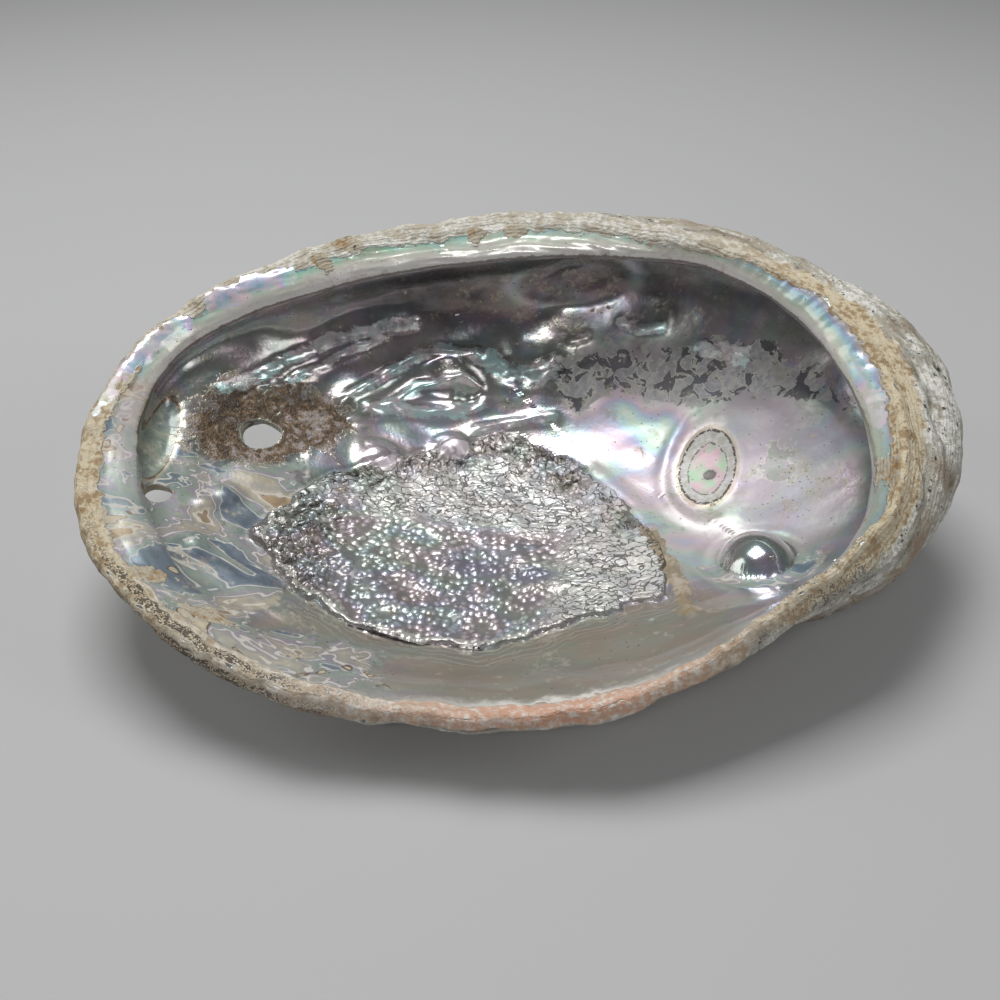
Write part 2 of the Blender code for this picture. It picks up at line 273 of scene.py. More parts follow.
def smooth(value, low, high):
    """0 below low, 1 above high, and a soft step between."""
    share = np.clip((value - low) / (high - low), 0, 1)
    return share * share * (3 - 2 * share)


def dome(x, y, centre, size, height):
    """A soft round lump."""
    far = ((x - centre[0]) ** 2 + (y - centre[1]) ** 2) / size**2
    return height * np.exp(-(far**1.5))


def blob(x, y, centre, half_x, half_y):
    """1 at the centre, fading to 0 past the two half-widths."""
    return np.exp(-(((x - centre[0]) / half_x) ** 2) - ((y - centre[1]) / half_y) ** 2)


def facing(direction, middle, width):
    """1 at the middle direction, fading to 0 past the width, in degrees."""
    gap = (direction - middle + 180) % 360 - 180
    return np.exp(-((gap / width) ** 2))


def lumps(points, grain, seed):
    """Soft random lumps about grain millimetres wide, from -1 to 1."""
    where = (seed * 17.0, seed * 5.0, seed * 9.0)
    return np.array([noise.noise(p) for p in (points / grain + where).tolist()])


def cells(points, grain, seed):
    """Distance to the nearest and the second nearest of scattered seeds, in grains."""
    where = (seed * 7.0, seed * 3.0, seed * 11.0)
    found = np.array([noise.voronoi(p)[0][:2] for p in (points / grain + where).tolist()])
    return found[:, 0], found[:, 1]


def line_distance(x, y, outline, closed=True):
    """Distance to a line through the outline's points, and whether each point is inside it."""
    within = np.zeros(len(x), bool)
    nearest = np.full(len(x), 1e9)
    count = len(outline)
    for i in range(count if closed else count - 1):
        (ax, ay), (bx, by) = outline[i], outline[(i + 1) % count]
        share = ((x - ax) * (bx - ax) + (y - ay) * (by - ay)) / ((bx - ax) ** 2 + (by - ay) ** 2)
        share = np.clip(share, 0, 1)
        nearest = np.minimum(nearest, np.hypot(x - ax - share * (bx - ax), y - ay - share * (by - ay)))
        crosses = (ay > y) != (by > y)
        at = ax + (y - ay) * (bx - ax) / (by - ay if by != ay else 1)
        within ^= crosses & (x < at)
    return nearest, within


def signed_distance(x, y, outline):
    """Distance inside the outline, below 0 outside it."""
    nearest, within = line_distance(x, y, outline)
    return np.where(within, nearest, -nearest)


class Skin:
    """A square sheet of points on one skin, before its relief, and where each point lies."""

    def __init__(self, profile, direction, t, turn, far):
        self.side = math.isqrt(len(t))
        self.direction = direction
        self.t = t
        self.turn = turn
        self.edge = far >= 1
        flat, self.length = profile(direction, t)
        rim, _ = profile(direction, 0 * t)
        angle = np.radians(direction)
        self.out = np.stack([np.cos(angle), np.sin(angle), 0 * angle], axis=1)
        self.points = self.placed(flat)
        self.rim = self.placed(rim)
        self.fall = rim[1] - flat[1]
        self.marks = {}

    def placed(self, flat):
        points = flat[0][:, None] * self.out
        points[:, 0] += POLE_X
        points[:, 1] += POLE_Y
        points[:, 2] = flat[1]
        return points

    def normals(self):
        square = self.points.reshape(self.side, self.side, 3)
        across = np.cross(np.gradient(square, axis=0), np.gradient(square, axis=1)).reshape(-1, 3)
        return across / np.linalg.norm(across, axis=1)[:, None]

    def raise_by(self, height):
        self.points = self.points + self.normals() * height[:, None]

    def wear_rim(self):
        """Waves and chips of the lip, which fade a few millimetres from it."""
        rough = 1 + 1.3 * facing(self.direction, 226, 16)
        up = 0.9 * lumps(self.rim, 9, 51) + 0.5 * lumps(self.rim, 3, 52) * rough
        out = 0.9 * lumps(self.rim, 7, 53) + 0.45 * lumps(self.rim, 2.2, 54) * rough
        fade = np.exp(-((self.length / 4.5) ** 2))
        self.points[:, 2] += up * fade
        self.points += self.out * (out * fade)[:, None]

    def loop(self):
        """The points along the sheet's edge, in order of their turn around its middle."""
        edge = np.flatnonzero(self.edge)
        return edge[np.argsort(self.turn[edge])]


def whole_skin(profile, count):
    """A skin from the rim to the pole."""
    direction, far = round_grid(count)
    return Skin(profile, direction, 1 - far, direction, far)


def share_at(direction, radius):
    """The share t at which the floor of the bowl lies at this radius from the pole."""
    low = np.full_like(radius, 0.25)
    high = np.ones_like(radius)
    for _ in range(18):
        middle = 0.5 * (low + high)
        too_far = inside(direction, middle)[0][0] > radius
        low = np.where(too_far, middle, low)
        high = np.where(too_far, high, middle)
    return 0.5 * (low + high)


def scar_reach(turn):
    """Distance from the scar's middle to its outline in each direction."""
    reach = np.zeros(len(turn))
    across, along = np.cos(np.radians(turn)), np.sin(np.radians(turn))
    count = len(SCAR_OUTLINE)
    for i in range(count):
        ax, ay = np.subtract(SCAR_OUTLINE[i], SCAR_MIDDLE)
        bx, by = np.subtract(SCAR_OUTLINE[(i + 1) % count], SCAR_MIDDLE)
        cross = across * (by - ay) - along * (bx - ax)
        cross = np.where(np.abs(cross) < 1e-9, 1e-9, cross)
        far = (ax * (by - ay) - ay * (bx - ax)) / cross
        share = (ax * along - ay * across) / cross
        reach = np.where((far > 0) & (share >= 0) & (share <= 1), np.maximum(reach, far), reach)
    return reach


def scar_skin(count):
    """The part of the bowl's floor under the muscle scar and a little past it."""
    turn, far = round_grid(count)
    reach = far * (scar_reach(turn) + SCAR_MARGIN)
    x = SCAR_MIDDLE[0] + reach * np.cos(np.radians(turn)) - POLE_X
    y = SCAR_MIDDLE[1] + reach * np.sin(np.radians(turn)) - POLE_Y
    direction = np.degrees(np.arctan2(y, x)) % 360
    t = share_at(direction, np.maximum(np.hypot(x, y), 0.01))
    return Skin(inside, direction, t, turn, far)


def eye_share(x, y):
    """Distance from the middle of the spire's eye, 1 at its ring."""
    lean = 0.12 * (y - EYE[1])
    return np.hypot((x - EYE[0] - lean) / EYE_HALF_WIDE, (y - EYE[1]) / EYE_HALF_HIGH)


def scar_relief(skin, scar, beaded, chunky):
    """Beads low on the scar, squiggles at its right and dark-edged chunks along its upper edge."""
    x, y, _ = skin.points.T
    keep = scar > 0
    near = skin.points[keep]
    beads, chunks = beaded[keep], chunky[keep]
    wavy = (1 - beads) * (1 - chunks)
    height = np.zeros(len(x))
    crack = np.zeros(len(x))
    first, _ = cells(near, BEAD_SPACING, 61)
    bead = (1 - np.clip(first / 0.58, 0, 1) ** 2) * (0.75 + 0.5 * lumps(near, 4, 67))
    gap = smooth(first, 0.36, 0.60)
    bend = np.stack([lumps(near, 5, 91), lumps(near, 5, 92), 0 * first], axis=1)
    kink = np.stack([lumps(near, 1.7, 93), lumps(near, 1.7, 94), 0 * first], axis=1)
    first, second = cells(near * (0.55, 1.15, 1.15) + 2.6 * bend + 0.5 * kink, 1.75, 64)
    squiggle = 1 - smooth(second - first, 0.03, 0.17)
    first, second = cells(near * (0.8, 1.1, 1.0) + 2.4 * bend + 1.3 * kink, 4.0, 66)
    seam = (1 - smooth(second - first, 0.02, 0.16)) * smooth(lumps(near, 6, 95), -0.5, -0.2)
    lump = lumps(near, 2.6, 65)
    height[keep] = 0.60 * beads * bead + wavy * (0.30 - 0.22 * squiggle + 0.24 * lump)
    height[keep] += chunks * (0.8 * lump + 0.40 * lumps(near, 1.3, 96) + 0.4 - 0.7 * seam)
    # The crack mark darkens the gaps between beads, a painted shade, and the dark seams between chunks.
    crack[keep] = 0.70 * beads * gap + 0.85 * chunks * seam
    return height * scar, np.clip(crack, 0, 1) * scar


def ridge(x, y, line, half_wide, wander):
    """1 along a line with a wandering crest, fading past its half-width."""
    far, _ = line_distance(x, y, line, closed=False)
    return np.exp(-(((far + wander) / half_wide) ** 2))


def bowl_relief(skin, crust_piece=False):
    """Relief of the inner skin or of the scar's crust on it, and the marks that the colours follow."""
    points, t, direction = skin.points, skin.t, skin.direction
    x, y, w = points.T
    low = np.clip((-8 - w) / 6, 0, 1)
    drop = around("drop", direction)
    fold = np.clip(around("fold", direction), 0, 1)
    lip = skin.fall - drop
    ledge = fold * (1 - smooth(lip, 1.0, 4.0))
    wall = smooth(lip, 3, 8)
    soft = lumps(points, 7, 1)
    mid = lumps(points, 4.5, 79)
    fine = lumps(points, 2.4, 71)
    wander = lumps(points, 12, 74)

    # The muscle scar, with two small pearls over its upper edge.
    nubs = (dome(x, y, (-33, 20), 5.0, 1.0) + dome(x, y, (-13, 27), 4.6, 1.0)) * low
    deep = signed_distance(x, y, SCAR_OUTLINE) + 2.0 * lumps(points, 6, 21) + 0.7 * fine
    scar = smooth(deep, -0.9, 0.9) * low
    height = scar * (0.85 + 1.0 * soft)
    upper = smooth(y + 0.12 * x + 4 * mid, -9, -2)
    right = smooth(x - 0.2 * y + 3 * mid, 16, 26)
    beaded = (1 - upper) * (1 - right)
    chunky = np.clip(upper * (1 - smooth(deep - 0.06 * x, 7, 12)) + smooth(-x + 4 * mid, 36, 46), 0, 1)
    height -= 0.4 * np.exp(-(((deep + 0.8) / 0.8) ** 2)) * low
    crack = 0 * x
    if crust_piece:
        scar_height, crack = scar_relief(skin, scar, beaded, chunky)
        scar_height *= 1 - smooth(nubs, 0.15, 0.45)
        height += scar_height - 2.4 * (1 - smooth(deep, -1.7, -0.4))
    else:
        height -= 1.7 * smooth(deep, -0.3, 1.4) * low
    flake_far, _ = line_distance(x, y, FLAKE, closed=False)
    flake = np.exp(-(((flake_far + 1.2 * fine + 1.4 * mid) / 2.6) ** 2)) * low
    height += 1.2 * flake * (1 + 0.8 * fine)

    # The eye of the spire, a dished oval with a dark pit.
    eye = eye_share(x, y) + 0.03 * fine
    eye_ring = np.exp(-(((eye - 1) / 0.08) ** 2)) * low
    pit_far = np.hypot(x - EYE[0] - 0.3, y - EYE[1] + 1.5)
    pit = np.exp(-((pit_far / 1.9) ** 4)) * low
    height += 0.35 * eye_ring - 0.5 * (1 - smooth(eye, 0.5, 0.95)) * low - 0.5 * pit
    height += 1.0 * np.exp(-(((eye - 1.6) / 0.24) ** 2)) * low * smooth(60 - x, -12, 8)
    height += 0.12 * np.exp(-(((eye - 0.66) / 0.08) ** 2)) * low

    # The round blister pearl and the pool beside it.
    pearl_far = np.hypot(x - PEARL[0], (y - PEARL[1]) * 1.03) / PEARL_RADIUS
    pearl = np.clip(1 - pearl_far**2, 0, 1)
    height += 6.8 * pearl**0.62 * low - 0.9 * np.exp(-(((pearl_far - 1.35) / 0.22) ** 2)) * low

    # Healed pores, small pearls and hollows.
    height += (dome(x, y, (-12, 51), 7, 3.0) - dome(x, y, (-8.5, 45.5), 3.4, 2.2)) * low
    height += (dome(x, y, (-40, 40), 6, 1.2) + dome(x, y, (28, 49), 6, 1.2)) * low
    height -= (dome(x, y, (10, 60), 7, 1.5) + dome(x, y, (-78, 2), 9, 1.0)) * low
    height += 3.0 * nubs
    height += dome(x, y, (-73, -25), 4.6, 1.6) - dome(x, y, (-73, -26), 2.0, 1.0)
    height += dome(x, y, (-68, -5), 3.2, 1.4) + dome(x, y, (-71.5, -10), 2.6, 1.2)
    height -= 1.1 * blob(x, y, (-63.5, 19), 9, 8) * low
    oval = np.hypot((x + 85.2 - 0.05 * y) / 3.3, (y - 6.5) / 14)
    oval += 0.3 * np.clip(2.5 - lip, 0, 8) * fold
    height -= 1.0 * (1 - smooth(oval, 0.75, 1.1))
    arch = np.hypot((x - 24) / 19, (w + 21) / 8.5)
    back = smooth(y, 40, 52)
    height += 1.5 * (1 - smooth(arch, 0.55, 1.0)) * back * low

    # Folds of the wall; the long bright streaks on their crests are a painted highlight.
    bare = (1 - scar) * low
    streak = np.zeros(len(x))
    for line, half_wide, high in WALL_FOLDS:
        crest = bare * ridge(x, y, line, half_wide, 0.4 * mid)
        height += high * crest
        streak = np.maximum(streak, crest)
    height += 0.5 * streak * lumps(points * (0.5, 0.9, 1.0), 1.9, 97)
    # Painted highlight strips along the ledge, with turquoise spots of nacre.
    gleam = np.zeros(len(x))
    for line, half_wide in LEDGE_GLEAMS:
        gleam = np.maximum(gleam, ridge(x, y, line, half_wide, 0.8 * mid) * (1 - smooth(lip, -1.5, 0.5)))
    streaked = np.stack([0.42 * x + 0.5 * w, y, w], axis=1)
    folds = lumps(streaked, 7, 72)
    calm = smooth(pearl_far, 0.9, 1.3) * smooth(eye, 1.0, 1.7) * smooth(oval, 0.9, 1.2)
    lively = 0.14 + 0.20 * blob(x, y, (-28, 50), 42, 20) + 0.3 * blob(x, y, (68, 50), 14, 6)
    height += bare * wall * calm * lively * (1.2 * folds + 0.35 * lumps(streaked, 3.5, 73))
    height += 0.35 * lumps(points, 9, 3) * np.clip(t / 0.04, 0, 1) * calm
    height += 0.5 * bare * lumps(points * (0.6, 1.3, 1.3), 14, 2)
    height += 0.04 * bare * fine * calm

    lines = np.sin(2 * np.pi * (skin.length / 2.1 + 0.8 * wander))
    front = smooth(-y, 22, 42) * (1 - scar) * (1 - smooth(x, 50, 64))
    height += 0.08 * lines * front + 0.12 * lines * ledge
    height += ledge * (0.30 * lumps(points, 8, 75) + 0.08 * fine)

    stain = smooth(signed_distance(x, y, STAIN_OUTLINE) + 4 * wander, -4, 5) * low
    pits = 0 * x
    if not crust_piece:
        first, _ = cells(points, 2.6, 76)
        pits = (1 - smooth(first, 0.12, 0.34)) * stain
    height += stain * (0.5 * fine + 0.4 * mid) - 0.7 * pits
    etched = smooth(signed_distance(x, y, ETCHED_OUTLINE) + 5 * wander, -5, 4) * low
    peel = smooth(-x + 6 * wander, 44, 58) * (1 - smooth(y, 14, 24)) * (1 - stain)
    peel = np.maximum(peel, smooth(-y + 5 * wander, 44, 58) * smooth(8 * wander - x, 6, 46)) * (1 - scar)
    pool = np.clip((pearl_far - 0.95) / 0.2, 0, 1) * (1 - smooth(pearl_far, 1.5, 1.9)) * smooth(-y, 15, 26)
    peel = np.maximum(peel, pool * low)

    # How wide the chalky margin is, in millimetres from the rim.
    crust = 2.6 + 3.6 * facing(direction, 105, 60) + 1.6 * facing(direction, 322, 18)
    crust -= 2.2 * facing(direction, 5, 34)
    crust += 2.6 * facing(direction, 150, 22)
    crust += 1.6 * facing(direction, 226, 20) + 1.4 * facing(direction, 262, 22)
    crust += facing(direction, 195, 15)
    pearly = skin.length - crust - 1.8 * lumps(points, 6, 77) * smooth(crust, 3, 6) - 0.6 * mid
    height += 0.35 * (1 - smooth(pearly, -0.6, 0.6))
    patch = np.zeros(len(x))
    for centre, half_x, half_y in LEDGE_PATCHES:
        patch = np.maximum(patch, blob(x, y, centre, half_x, half_y))
    patch *= 1 - low
    height += 0.2 * smooth(patch + 0.4 * fine, 0.5, 0.7)

    # Painted shade and dark reflection: darker under the ledge and up the back wall, darker still near the
    # right end, lighter beside the eye.
    under = smooth(lip, 1.5, 5) * (1 - smooth(skin.fall + 3 * wander, 24, 40))
    window = np.clip(facing(direction, 100, 66) * 1.4, 0, 1)
    shade = under * (0.35 + 0.65 * window) + 0.5 * bare * smooth(y + 0.3 * w, 24, 42) * (1 - under)
    shade += 0.35 * blob(x, y, (84, -12), 12, 16) * low
    shade *= 1 - 0.9 * blob(x, y, (38, 34), 12, 7)
    satin = smooth(x + 3 * wander, 16, 34) * low * smooth(pearl_far, 1.0, 1.2) * (1 - 0.8 * under)
    across = np.clip(skin.length / (1.15 * around("ledge", direction) + 2), 0, 1)
    hue = 0.9 * wander + 0.05 * w + 0.35 * folds
    dull = smooth(x + 3 * wander, 58, 72) * low * smooth(pearl_far, 1.2, 1.6) * (1 - under)
    violet = np.maximum(blob(x, y, (-5, -22), 9, 4), blob(x, y, (10, -24), 8, 4)) * scar
    arch_edge = np.exp(-(((arch - 1) / 0.12) ** 2)) * back * low
    skin.marks = {
        "pearly": pearly,
        "scar": scar,
        "deep": np.clip(deep, -20, 20) * low - 20 * (1 - low),
        "beads": beaded * scar,
        "chunks": chunky * scar,
        # Darker in the bead gaps, seams and pits: painted shade in these hollows, over the shell's own dark
        # seams and pits.
        "crevice": np.clip(crack + pits, 0, 1),
        "flake": flake,
        "eye": np.where(low > 0.5, np.minimum(eye, 3), 3),
        "pit": pit,
        "pearl": np.where(low > 0.5, np.minimum(pearl_far, 3), 3),
        "nubs": nubs,
        "stain": stain,
        "etched": etched,
        "peel": peel,
        "front": front * (1 - peel),
        "lip": lip,
        "folded": smooth(fold, 0.55, 0.95),
        "shade": np.clip(shade * (1 - 0.6 * arch_edge), 0, 1),
        "hue": hue,
        "tint": np.clip(0.34 + 0.2 * blob(x, y, (42, 34), 14, 10), 0, 1),
        "ledge": ledge,
        "satin": satin,
        "dull": dull,
        "across": across,
        "streak": streak,
        "gleam": gleam,
        "violet": violet,
        "lichen": np.maximum(blob(x, y, (77, 12), 5, 8), blob(x, y, (20, 50), 7, 5)) * low,
        "oval": np.minimum(oval, 3),
        "patch": patch,
        "growth": skin.length,
        "worn": 0 * x,
        **rim_marks(direction),
    }
    return height


def rim_margin(direction):
    """Width in millimetres of the smooth margin outside the rim."""
    return 2.5 + 6.5 * facing(direction, 5, 42)


def rim_marks(direction):
    """Marks of the lip that both skins carry."""
    return {
        "margin": rim_margin(direction),
        "salmon": facing(direction, 262, 20),
        "cream": np.clip(sum(facing(direction, *spot) for spot in CREAM_SPOTS), 0, 1),
        "dirt": 1.3 * facing(direction, 222, 18) + 0.8 * facing(direction, 300, 14),
    }


def crust_relief(skin):
    """Relief of the outer skin: growth steps, the row of pores, the spire, lamellae and pits."""
    points, t = skin.points, skin.t
    x, y, _ = points.T
    wander = lumps(points, 30, 4)
    steps = np.sin(2 * np.pi * (5.5 * t + 0.35 * wander)) * np.clip(t / 0.05, 0, 1)
    steps *= np.clip((0.8 - t) / 0.3, 0, 1)
    height = 0.9 * steps + 0.9 * lumps(points, 11, 5) + 0.35 * lumps(points, 5, 6)
    height *= np.clip((t + 0.02) / 0.08, 0.2, 1)
    filled = np.zeros(len(x))
    for i, centre in enumerate(PORE_ROW[1:]):
        size = 6.8 - 0.4 * i
        height += dome(x, y, centre, size, 3.0 - 0.16 * i) * np.clip(t / 0.1, 0, 1)
        dimple = dome(x, y, centre, 0.5 * size, 1.0)
        height -= (2.2 - 0.12 * i) * dimple
        filled = np.maximum(filled, dimple)
    far = np.hypot(x - SPIRE_TIP[0], y - SPIRE_TIP[1])
    coil = np.arctan2(y - SPIRE_TIP[1], x - SPIRE_TIP[0]) - 2.6 * np.log(far / 4 + 0.4)
    height += 0.9 * np.cos(coil) * np.exp(-((far / 22) ** 2))
    margin = rim_margin(skin.direction)
    off_rim = smooth(skin.length - margin, -2, 1.5)
    layer = (skin.length / 7.5 + 1.1 * wander + 0.22 * lumps(points, 8, 81)) % 1
    sharp = layer * smooth(1 - layer, 0, 0.25)
    height += (sharp - 0.4) * 1.5 * off_rim * (0.7 + 0.9 * lumps(points, 18, 82))
    first, _ = cells(points, 4.4, 83)
    worn = smooth(lumps(points, 14, 84), -0.05, 0.35)
    pits = (1 - smooth(first, 0.15, 0.40)) * (0.15 + 0.85 * worn) * off_rim
    height -= 0.9 * pits
    height += 0.25 * lumps(points, 2.4, 85) * off_rim
    zero = np.zeros(len(x))
    skin.marks = {
        "oval": zero + 3,
        "pearly": -skin.length - 0.5,
        "deep": zero - 20,
        "eye": zero + 3,
        "pearl": zero + 3,
        "lip": zero - 20,
        # Darker in the pits, at the lamellae's steps and in the pores' dimples: painted shade in these
        # hollows, over the crust's own dark pits.
        "crevice": np.clip(0.8 * pits + 0.5 * smooth(layer, 0.80, 0.95) * off_rim + 0.9 * filled, 0, 1),
        "hue": wander,
        "growth": skin.length,
        "worn": worn,
        **rim_marks(skin.direction),
    }
    return height


def grid_faces(side, first, flip):
    """Two triangles for each square of a sheet whose points start at index first."""
    steps = np.arange(side - 1)
    corner = (steps[:, None] * side + steps[None, :]).ravel() + first
    a, b, c, d = corner, corner + side, corner + side + 1, corner + 1
    faces = np.concatenate([np.stack([a, b, c], axis=1), np.stack([a, c, d], axis=1)])
    return faces[:, ::-1] if flip else faces


def zip_loops(inner, inner_angle, outer, outer_angle):
    """Triangles that join two closed loops of points, both in order of direction."""
    faces = []
    i = j = 0
    while i < len(inner) or j < len(outer):
        next_in = inner_angle[i + 1] if i + 1 < len(inner) else 360 + inner_angle[0]
        next_out = outer_angle[j + 1] if j + 1 < len(outer) else 360 + outer_angle[0]
        here = (inner[i % len(inner)], outer[j % len(outer)])
        if j >= len(outer) or (i < len(inner) and next_in <= next_out):
            faces.append((here[0], here[1], inner[(i + 1) % len(inner)]))
            i += 1
        else:
            faces.append((here[0], here[1], outer[(j + 1) % len(outer)]))
            j += 1
    return np.array(faces)


def world_frame():
    """From the rim plane to the table: the two tilts, then the shift."""
    tilt = Matrix.Rotation(BACK_TILT, 4, "X") @ Matrix.Rotation(-SIDE_TILT, 4, "Y")
    return Matrix.Translation(Vector(SHIFT)) @ tilt


def closed_mesh(name, top, base):
    """Two sheets and the band that joins their edges, in metres, with every mark on its points."""
    first = len(top.points)
    points = np.concatenate([top.points, base.points])
    turn = np.array(world_frame())
    points = points @ turn[:3, :3].T + turn[:3, 3]
    points[:, 2] = np.maximum(points[:, 2], 0)
    loop_top, loop_base = top.loop(), base.loop()
    band = zip_loops(loop_top, top.turn[loop_top], loop_base + first, base.turn[loop_base])
    faces = np.concatenate([grid_faces(top.side, 0, False), grid_faces(base.side, first, True), band])
    mesh = bpy.data.meshes.new(name)
    mesh.from_pydata((points * MM).tolist(), [], faces.tolist())
    for mark_name, on_top in top.marks.items():
        values = np.concatenate([on_top, base.marks.get(mark_name, np.zeros(len(base.points)))])
        mark = mesh.attributes.new(mark_name, "FLOAT", "POINT")
        mark.data.foreach_set("value", values.astype(np.float32))
    bm = bmesh.new()
    bm.from_mesh(mesh)
    bmesh.ops.recalc_face_normals(bm, faces=bm.faces)
    bm.to_mesh(mesh)
    bm.free()
    return mesh


def shell_mesh():
    bowl = whole_skin(inside, INSIDE_GRID)
    bowl.raise_by(bowl_relief(bowl))
    bowl.wear_rim()
    back = whole_skin(outside, OUTSIDE_GRID)
    back.raise_by(-crust_relief(back))
    back.wear_rim()
    return closed_mesh("shell_skin", bowl, back)


def scar_mesh():
    crust = scar_skin(SCAR_GRID)
    crust.raise_by(bowl_relief(crust, crust_piece=True))
    under = scar_skin(SCAR_BASE_GRID)
    under.raise_by(np.full(len(under.points), -SCAR_THICK))
    return closed_mesh("muscle_scar", crust, under)


def pore_cutter(name, centre, axis, half_long, half_wide, collection):
    """A slightly uneven oval rod through the wall."""
    mesh = bpy.data.meshes.new(name)
    bm = bmesh.new()
    bmesh.ops.create_cone(bm, cap_ends=True, segments=48, radius1=1.0, radius2=1.0, depth=1.0)
    for vert in bm.verts:
        turn = math.atan2(vert.co.y, vert.co.x)
        uneven = 1 + 0.04 * math.sin(3 * turn + 1) + 0.015 * math.sin(5 * turn)
        vert.co.x *= uneven
        vert.co.y *= uneven
    bmesh.ops.scale(bm, vec=(half_long * MM, half_wide * MM, 24 * MM), verts=bm.verts)
    bm.to_mesh(mesh)
    bm.free()
    cutter = bpy.data.objects.new(name, mesh)
    place = world_frame()
    upright = place.to_3x3() @ Vector(axis)
    cutter.rotation_euler = upright.to_track_quat("Z", "Y").to_euler()
    cutter.location = (place @ Vector(centre)) * MM
    cutter.hide_render = True
    cutter.display_type = "WIRE"
    collection.objects.link(cutter)
    return cutter


class Graph:
    """A material whose nodes are made with short calls."""

    def __init__(self, name, absent):
        self.absent = absent
        self.material = bpy.data.materials.new(name)
        self.material.use_nodes = True
        self.tree = self.material.node_tree
        self.shader = self.tree.nodes["Principled BSDF"]
        coords = self.tree.nodes.new("ShaderNodeTexCoord").outputs["Object"]
        self.place = self.vector("SCALE", coords, 1 / MM)

    def put(self, socket, value):
        if isinstance(value, bpy.types.NodeSocket):
            self.tree.links.new(value, socket)
        else:
            socket.default_value = value

    def vector(self, operation, a, b):
        made = self.tree.nodes.new("ShaderNodeVectorMath")
        made.operation = operation
        self.put(made.inputs[0], a)
        self.put(made.inputs["Scale"] if operation == "SCALE" else made.inputs[1], b)
        return made.outputs[0]

    def math(self, operation, a, b=0.0, c=0.0):
        if operation == "MULTIPLY" and 0.0 in (a, b):
            return 0.0
        if operation == "MAXIMUM" and 0.0 in (a, b):
            return a if b == 0.0 else b
        made = self.tree.nodes.new("ShaderNodeMath")
        made.operation = operation
        for socket, value in zip(made.inputs, (a, b, c)):
            self.put(socket, value)
        return made.outputs[0]

    def add(self, *values):
        total = values[0]
        for value in values[1:]:
            total = self.math("ADD", total, value)
        return total

    def times(self, *values):
        total = values[0]
        for value in values[1:]:
            total = self.math("MULTIPLY", total, value)
        return total

    def most(self, *values):
        total = values[0]
        for value in values[1:]:
            total = self.math("MAXIMUM", total, value)
        return total

    def less(self, value):
        """1 minus the value."""
        if isinstance(value, float):
            return 1.0 - value
        return self.math("SUBTRACT", 1.0, value)

    def step(self, value, low, high, start=0.0, end=1.0):
        """start at low, end at high, and a soft step between."""
        if isinstance(value, float):
            share = min(max((value - low) / (high - low), 0.0), 1.0)
            return start + (end - start) * share * share * (3 - 2 * share)
        made = self.tree.nodes.new("ShaderNodeMapRange")
        made.interpolation_type = "SMOOTHSTEP"
        for socket, setting in zip(made.inputs, (value, low, high, start, end)):
            self.put(socket, setting)
        return made.outputs[0]

    def line(self, value, at, half):
        """1 where the value is near at, as a thin line."""
        if isinstance(value, float):
            return 0.0
        return self.step(self.math("ABSOLUTE", self.math("SUBTRACT", value, at)), half, 0.5 * half)

    def mark(self, name):
        if name in self.absent:
            return self.absent[name]
        made = self.tree.nodes.new("ShaderNodeAttribute")
        made.attribute_name = name
        return made.outputs["Fac"]

    def cloud(self, grain, detail=2.0, warp=0.0, stretch=(1, 1, 1), seed=0.0):
        """Noise of lumps grain millimetres wide, mostly between -1 and 1."""
        made = self.tree.nodes.new("ShaderNodeTexNoise")
        scaled = self.vector("MULTIPLY", self.place, stretch)
        self.put(made.inputs["Vector"], self.vector("ADD", scaled, (seed, 2 * seed, 3 * seed)))
        made.inputs["Scale"].default_value = 1 / grain
        made.inputs["Detail"].default_value = detail
        made.inputs["Roughness"].default_value = 0.6
        made.inputs["Distortion"].default_value = warp
        return self.math("MULTIPLY_ADD", made.outputs["Fac"], 4.0, -2.0)

    def dots(self, grain):
        """Distance from scattered seeds, in grains."""
        made = self.tree.nodes.new("ShaderNodeTexVoronoi")
        self.put(made.inputs["Vector"], self.place)
        made.inputs["Scale"].default_value = 1 / grain
        return made.outputs["Distance"]

    def edges(self, grain, warp_grain, warp, stretch=(1, 1, 1)):
        """Distance from the winding edges between irregular cells, in grains."""
        bend = self.tree.nodes.new("ShaderNodeTexNoise")
        self.put(bend.inputs["Vector"], self.place)
        bend.inputs["Scale"].default_value = 1 / warp_grain
        bend.inputs["Detail"].default_value = 1.0
        shift = self.vector("SCALE", self.vector("SUBTRACT", bend.outputs["Color"], (0.5, 0.5, 0.5)), warp)
        made = self.tree.nodes.new("ShaderNodeTexVoronoi")
        made.feature = "DISTANCE_TO_EDGE"
        place = self.vector("ADD", self.vector("MULTIPLY", self.place, stretch), shift)
        self.put(made.inputs["Vector"], place)
        made.inputs["Scale"].default_value = 1 / grain
        return made.outputs["Distance"]

    def colour(self, value):
        return value if isinstance(value, bpy.types.NodeSocket) else (*value, 1)

    def mix(self, share, a, b):
        if share in (0.0, 1.0):
            return b if share else a
        made = self.tree.nodes.new("ShaderNodeMix")
        made.data_type = "RGBA"
        self.put(made.inputs[0], share)
        self.put(made.inputs[6], self.colour(a))
        self.put(made.inputs[7], self.colour(b))
        return made.outputs[2]

    def blend(self, share, a, b):
        if share in (0.0, 1.0):
            return b if share else a
        made = self.tree.nodes.new("ShaderNodeMix")
        self.put(made.inputs[0], share)
        self.put(made.inputs[2], a)
        self.put(made.inputs[3], b)
        return made.outputs[0]

    def ramp(self, value, stops):
        made = self.tree.nodes.new("ShaderNodeValToRGB")
        self.put(made.inputs[0], value)
        ramp = made.color_ramp
        while len(ramp.elements) < len(stops):
            ramp.elements.new(0.5)
        for element, (place, colour) in zip(ramp.elements, stops):
            element.position = place
            element.color = (*colour, 1)
        return made.outputs[0]

    def bump(self, height):
        made = self.tree.nodes.new("ShaderNodeBump")
        made.inputs["Strength"].default_value = 1.0
        made.inputs["Distance"].default_value = MM
        self.put(made.inputs["Height"], height)
        self.tree.links.new(made.outputs[0], self.shader.inputs["Normal"])

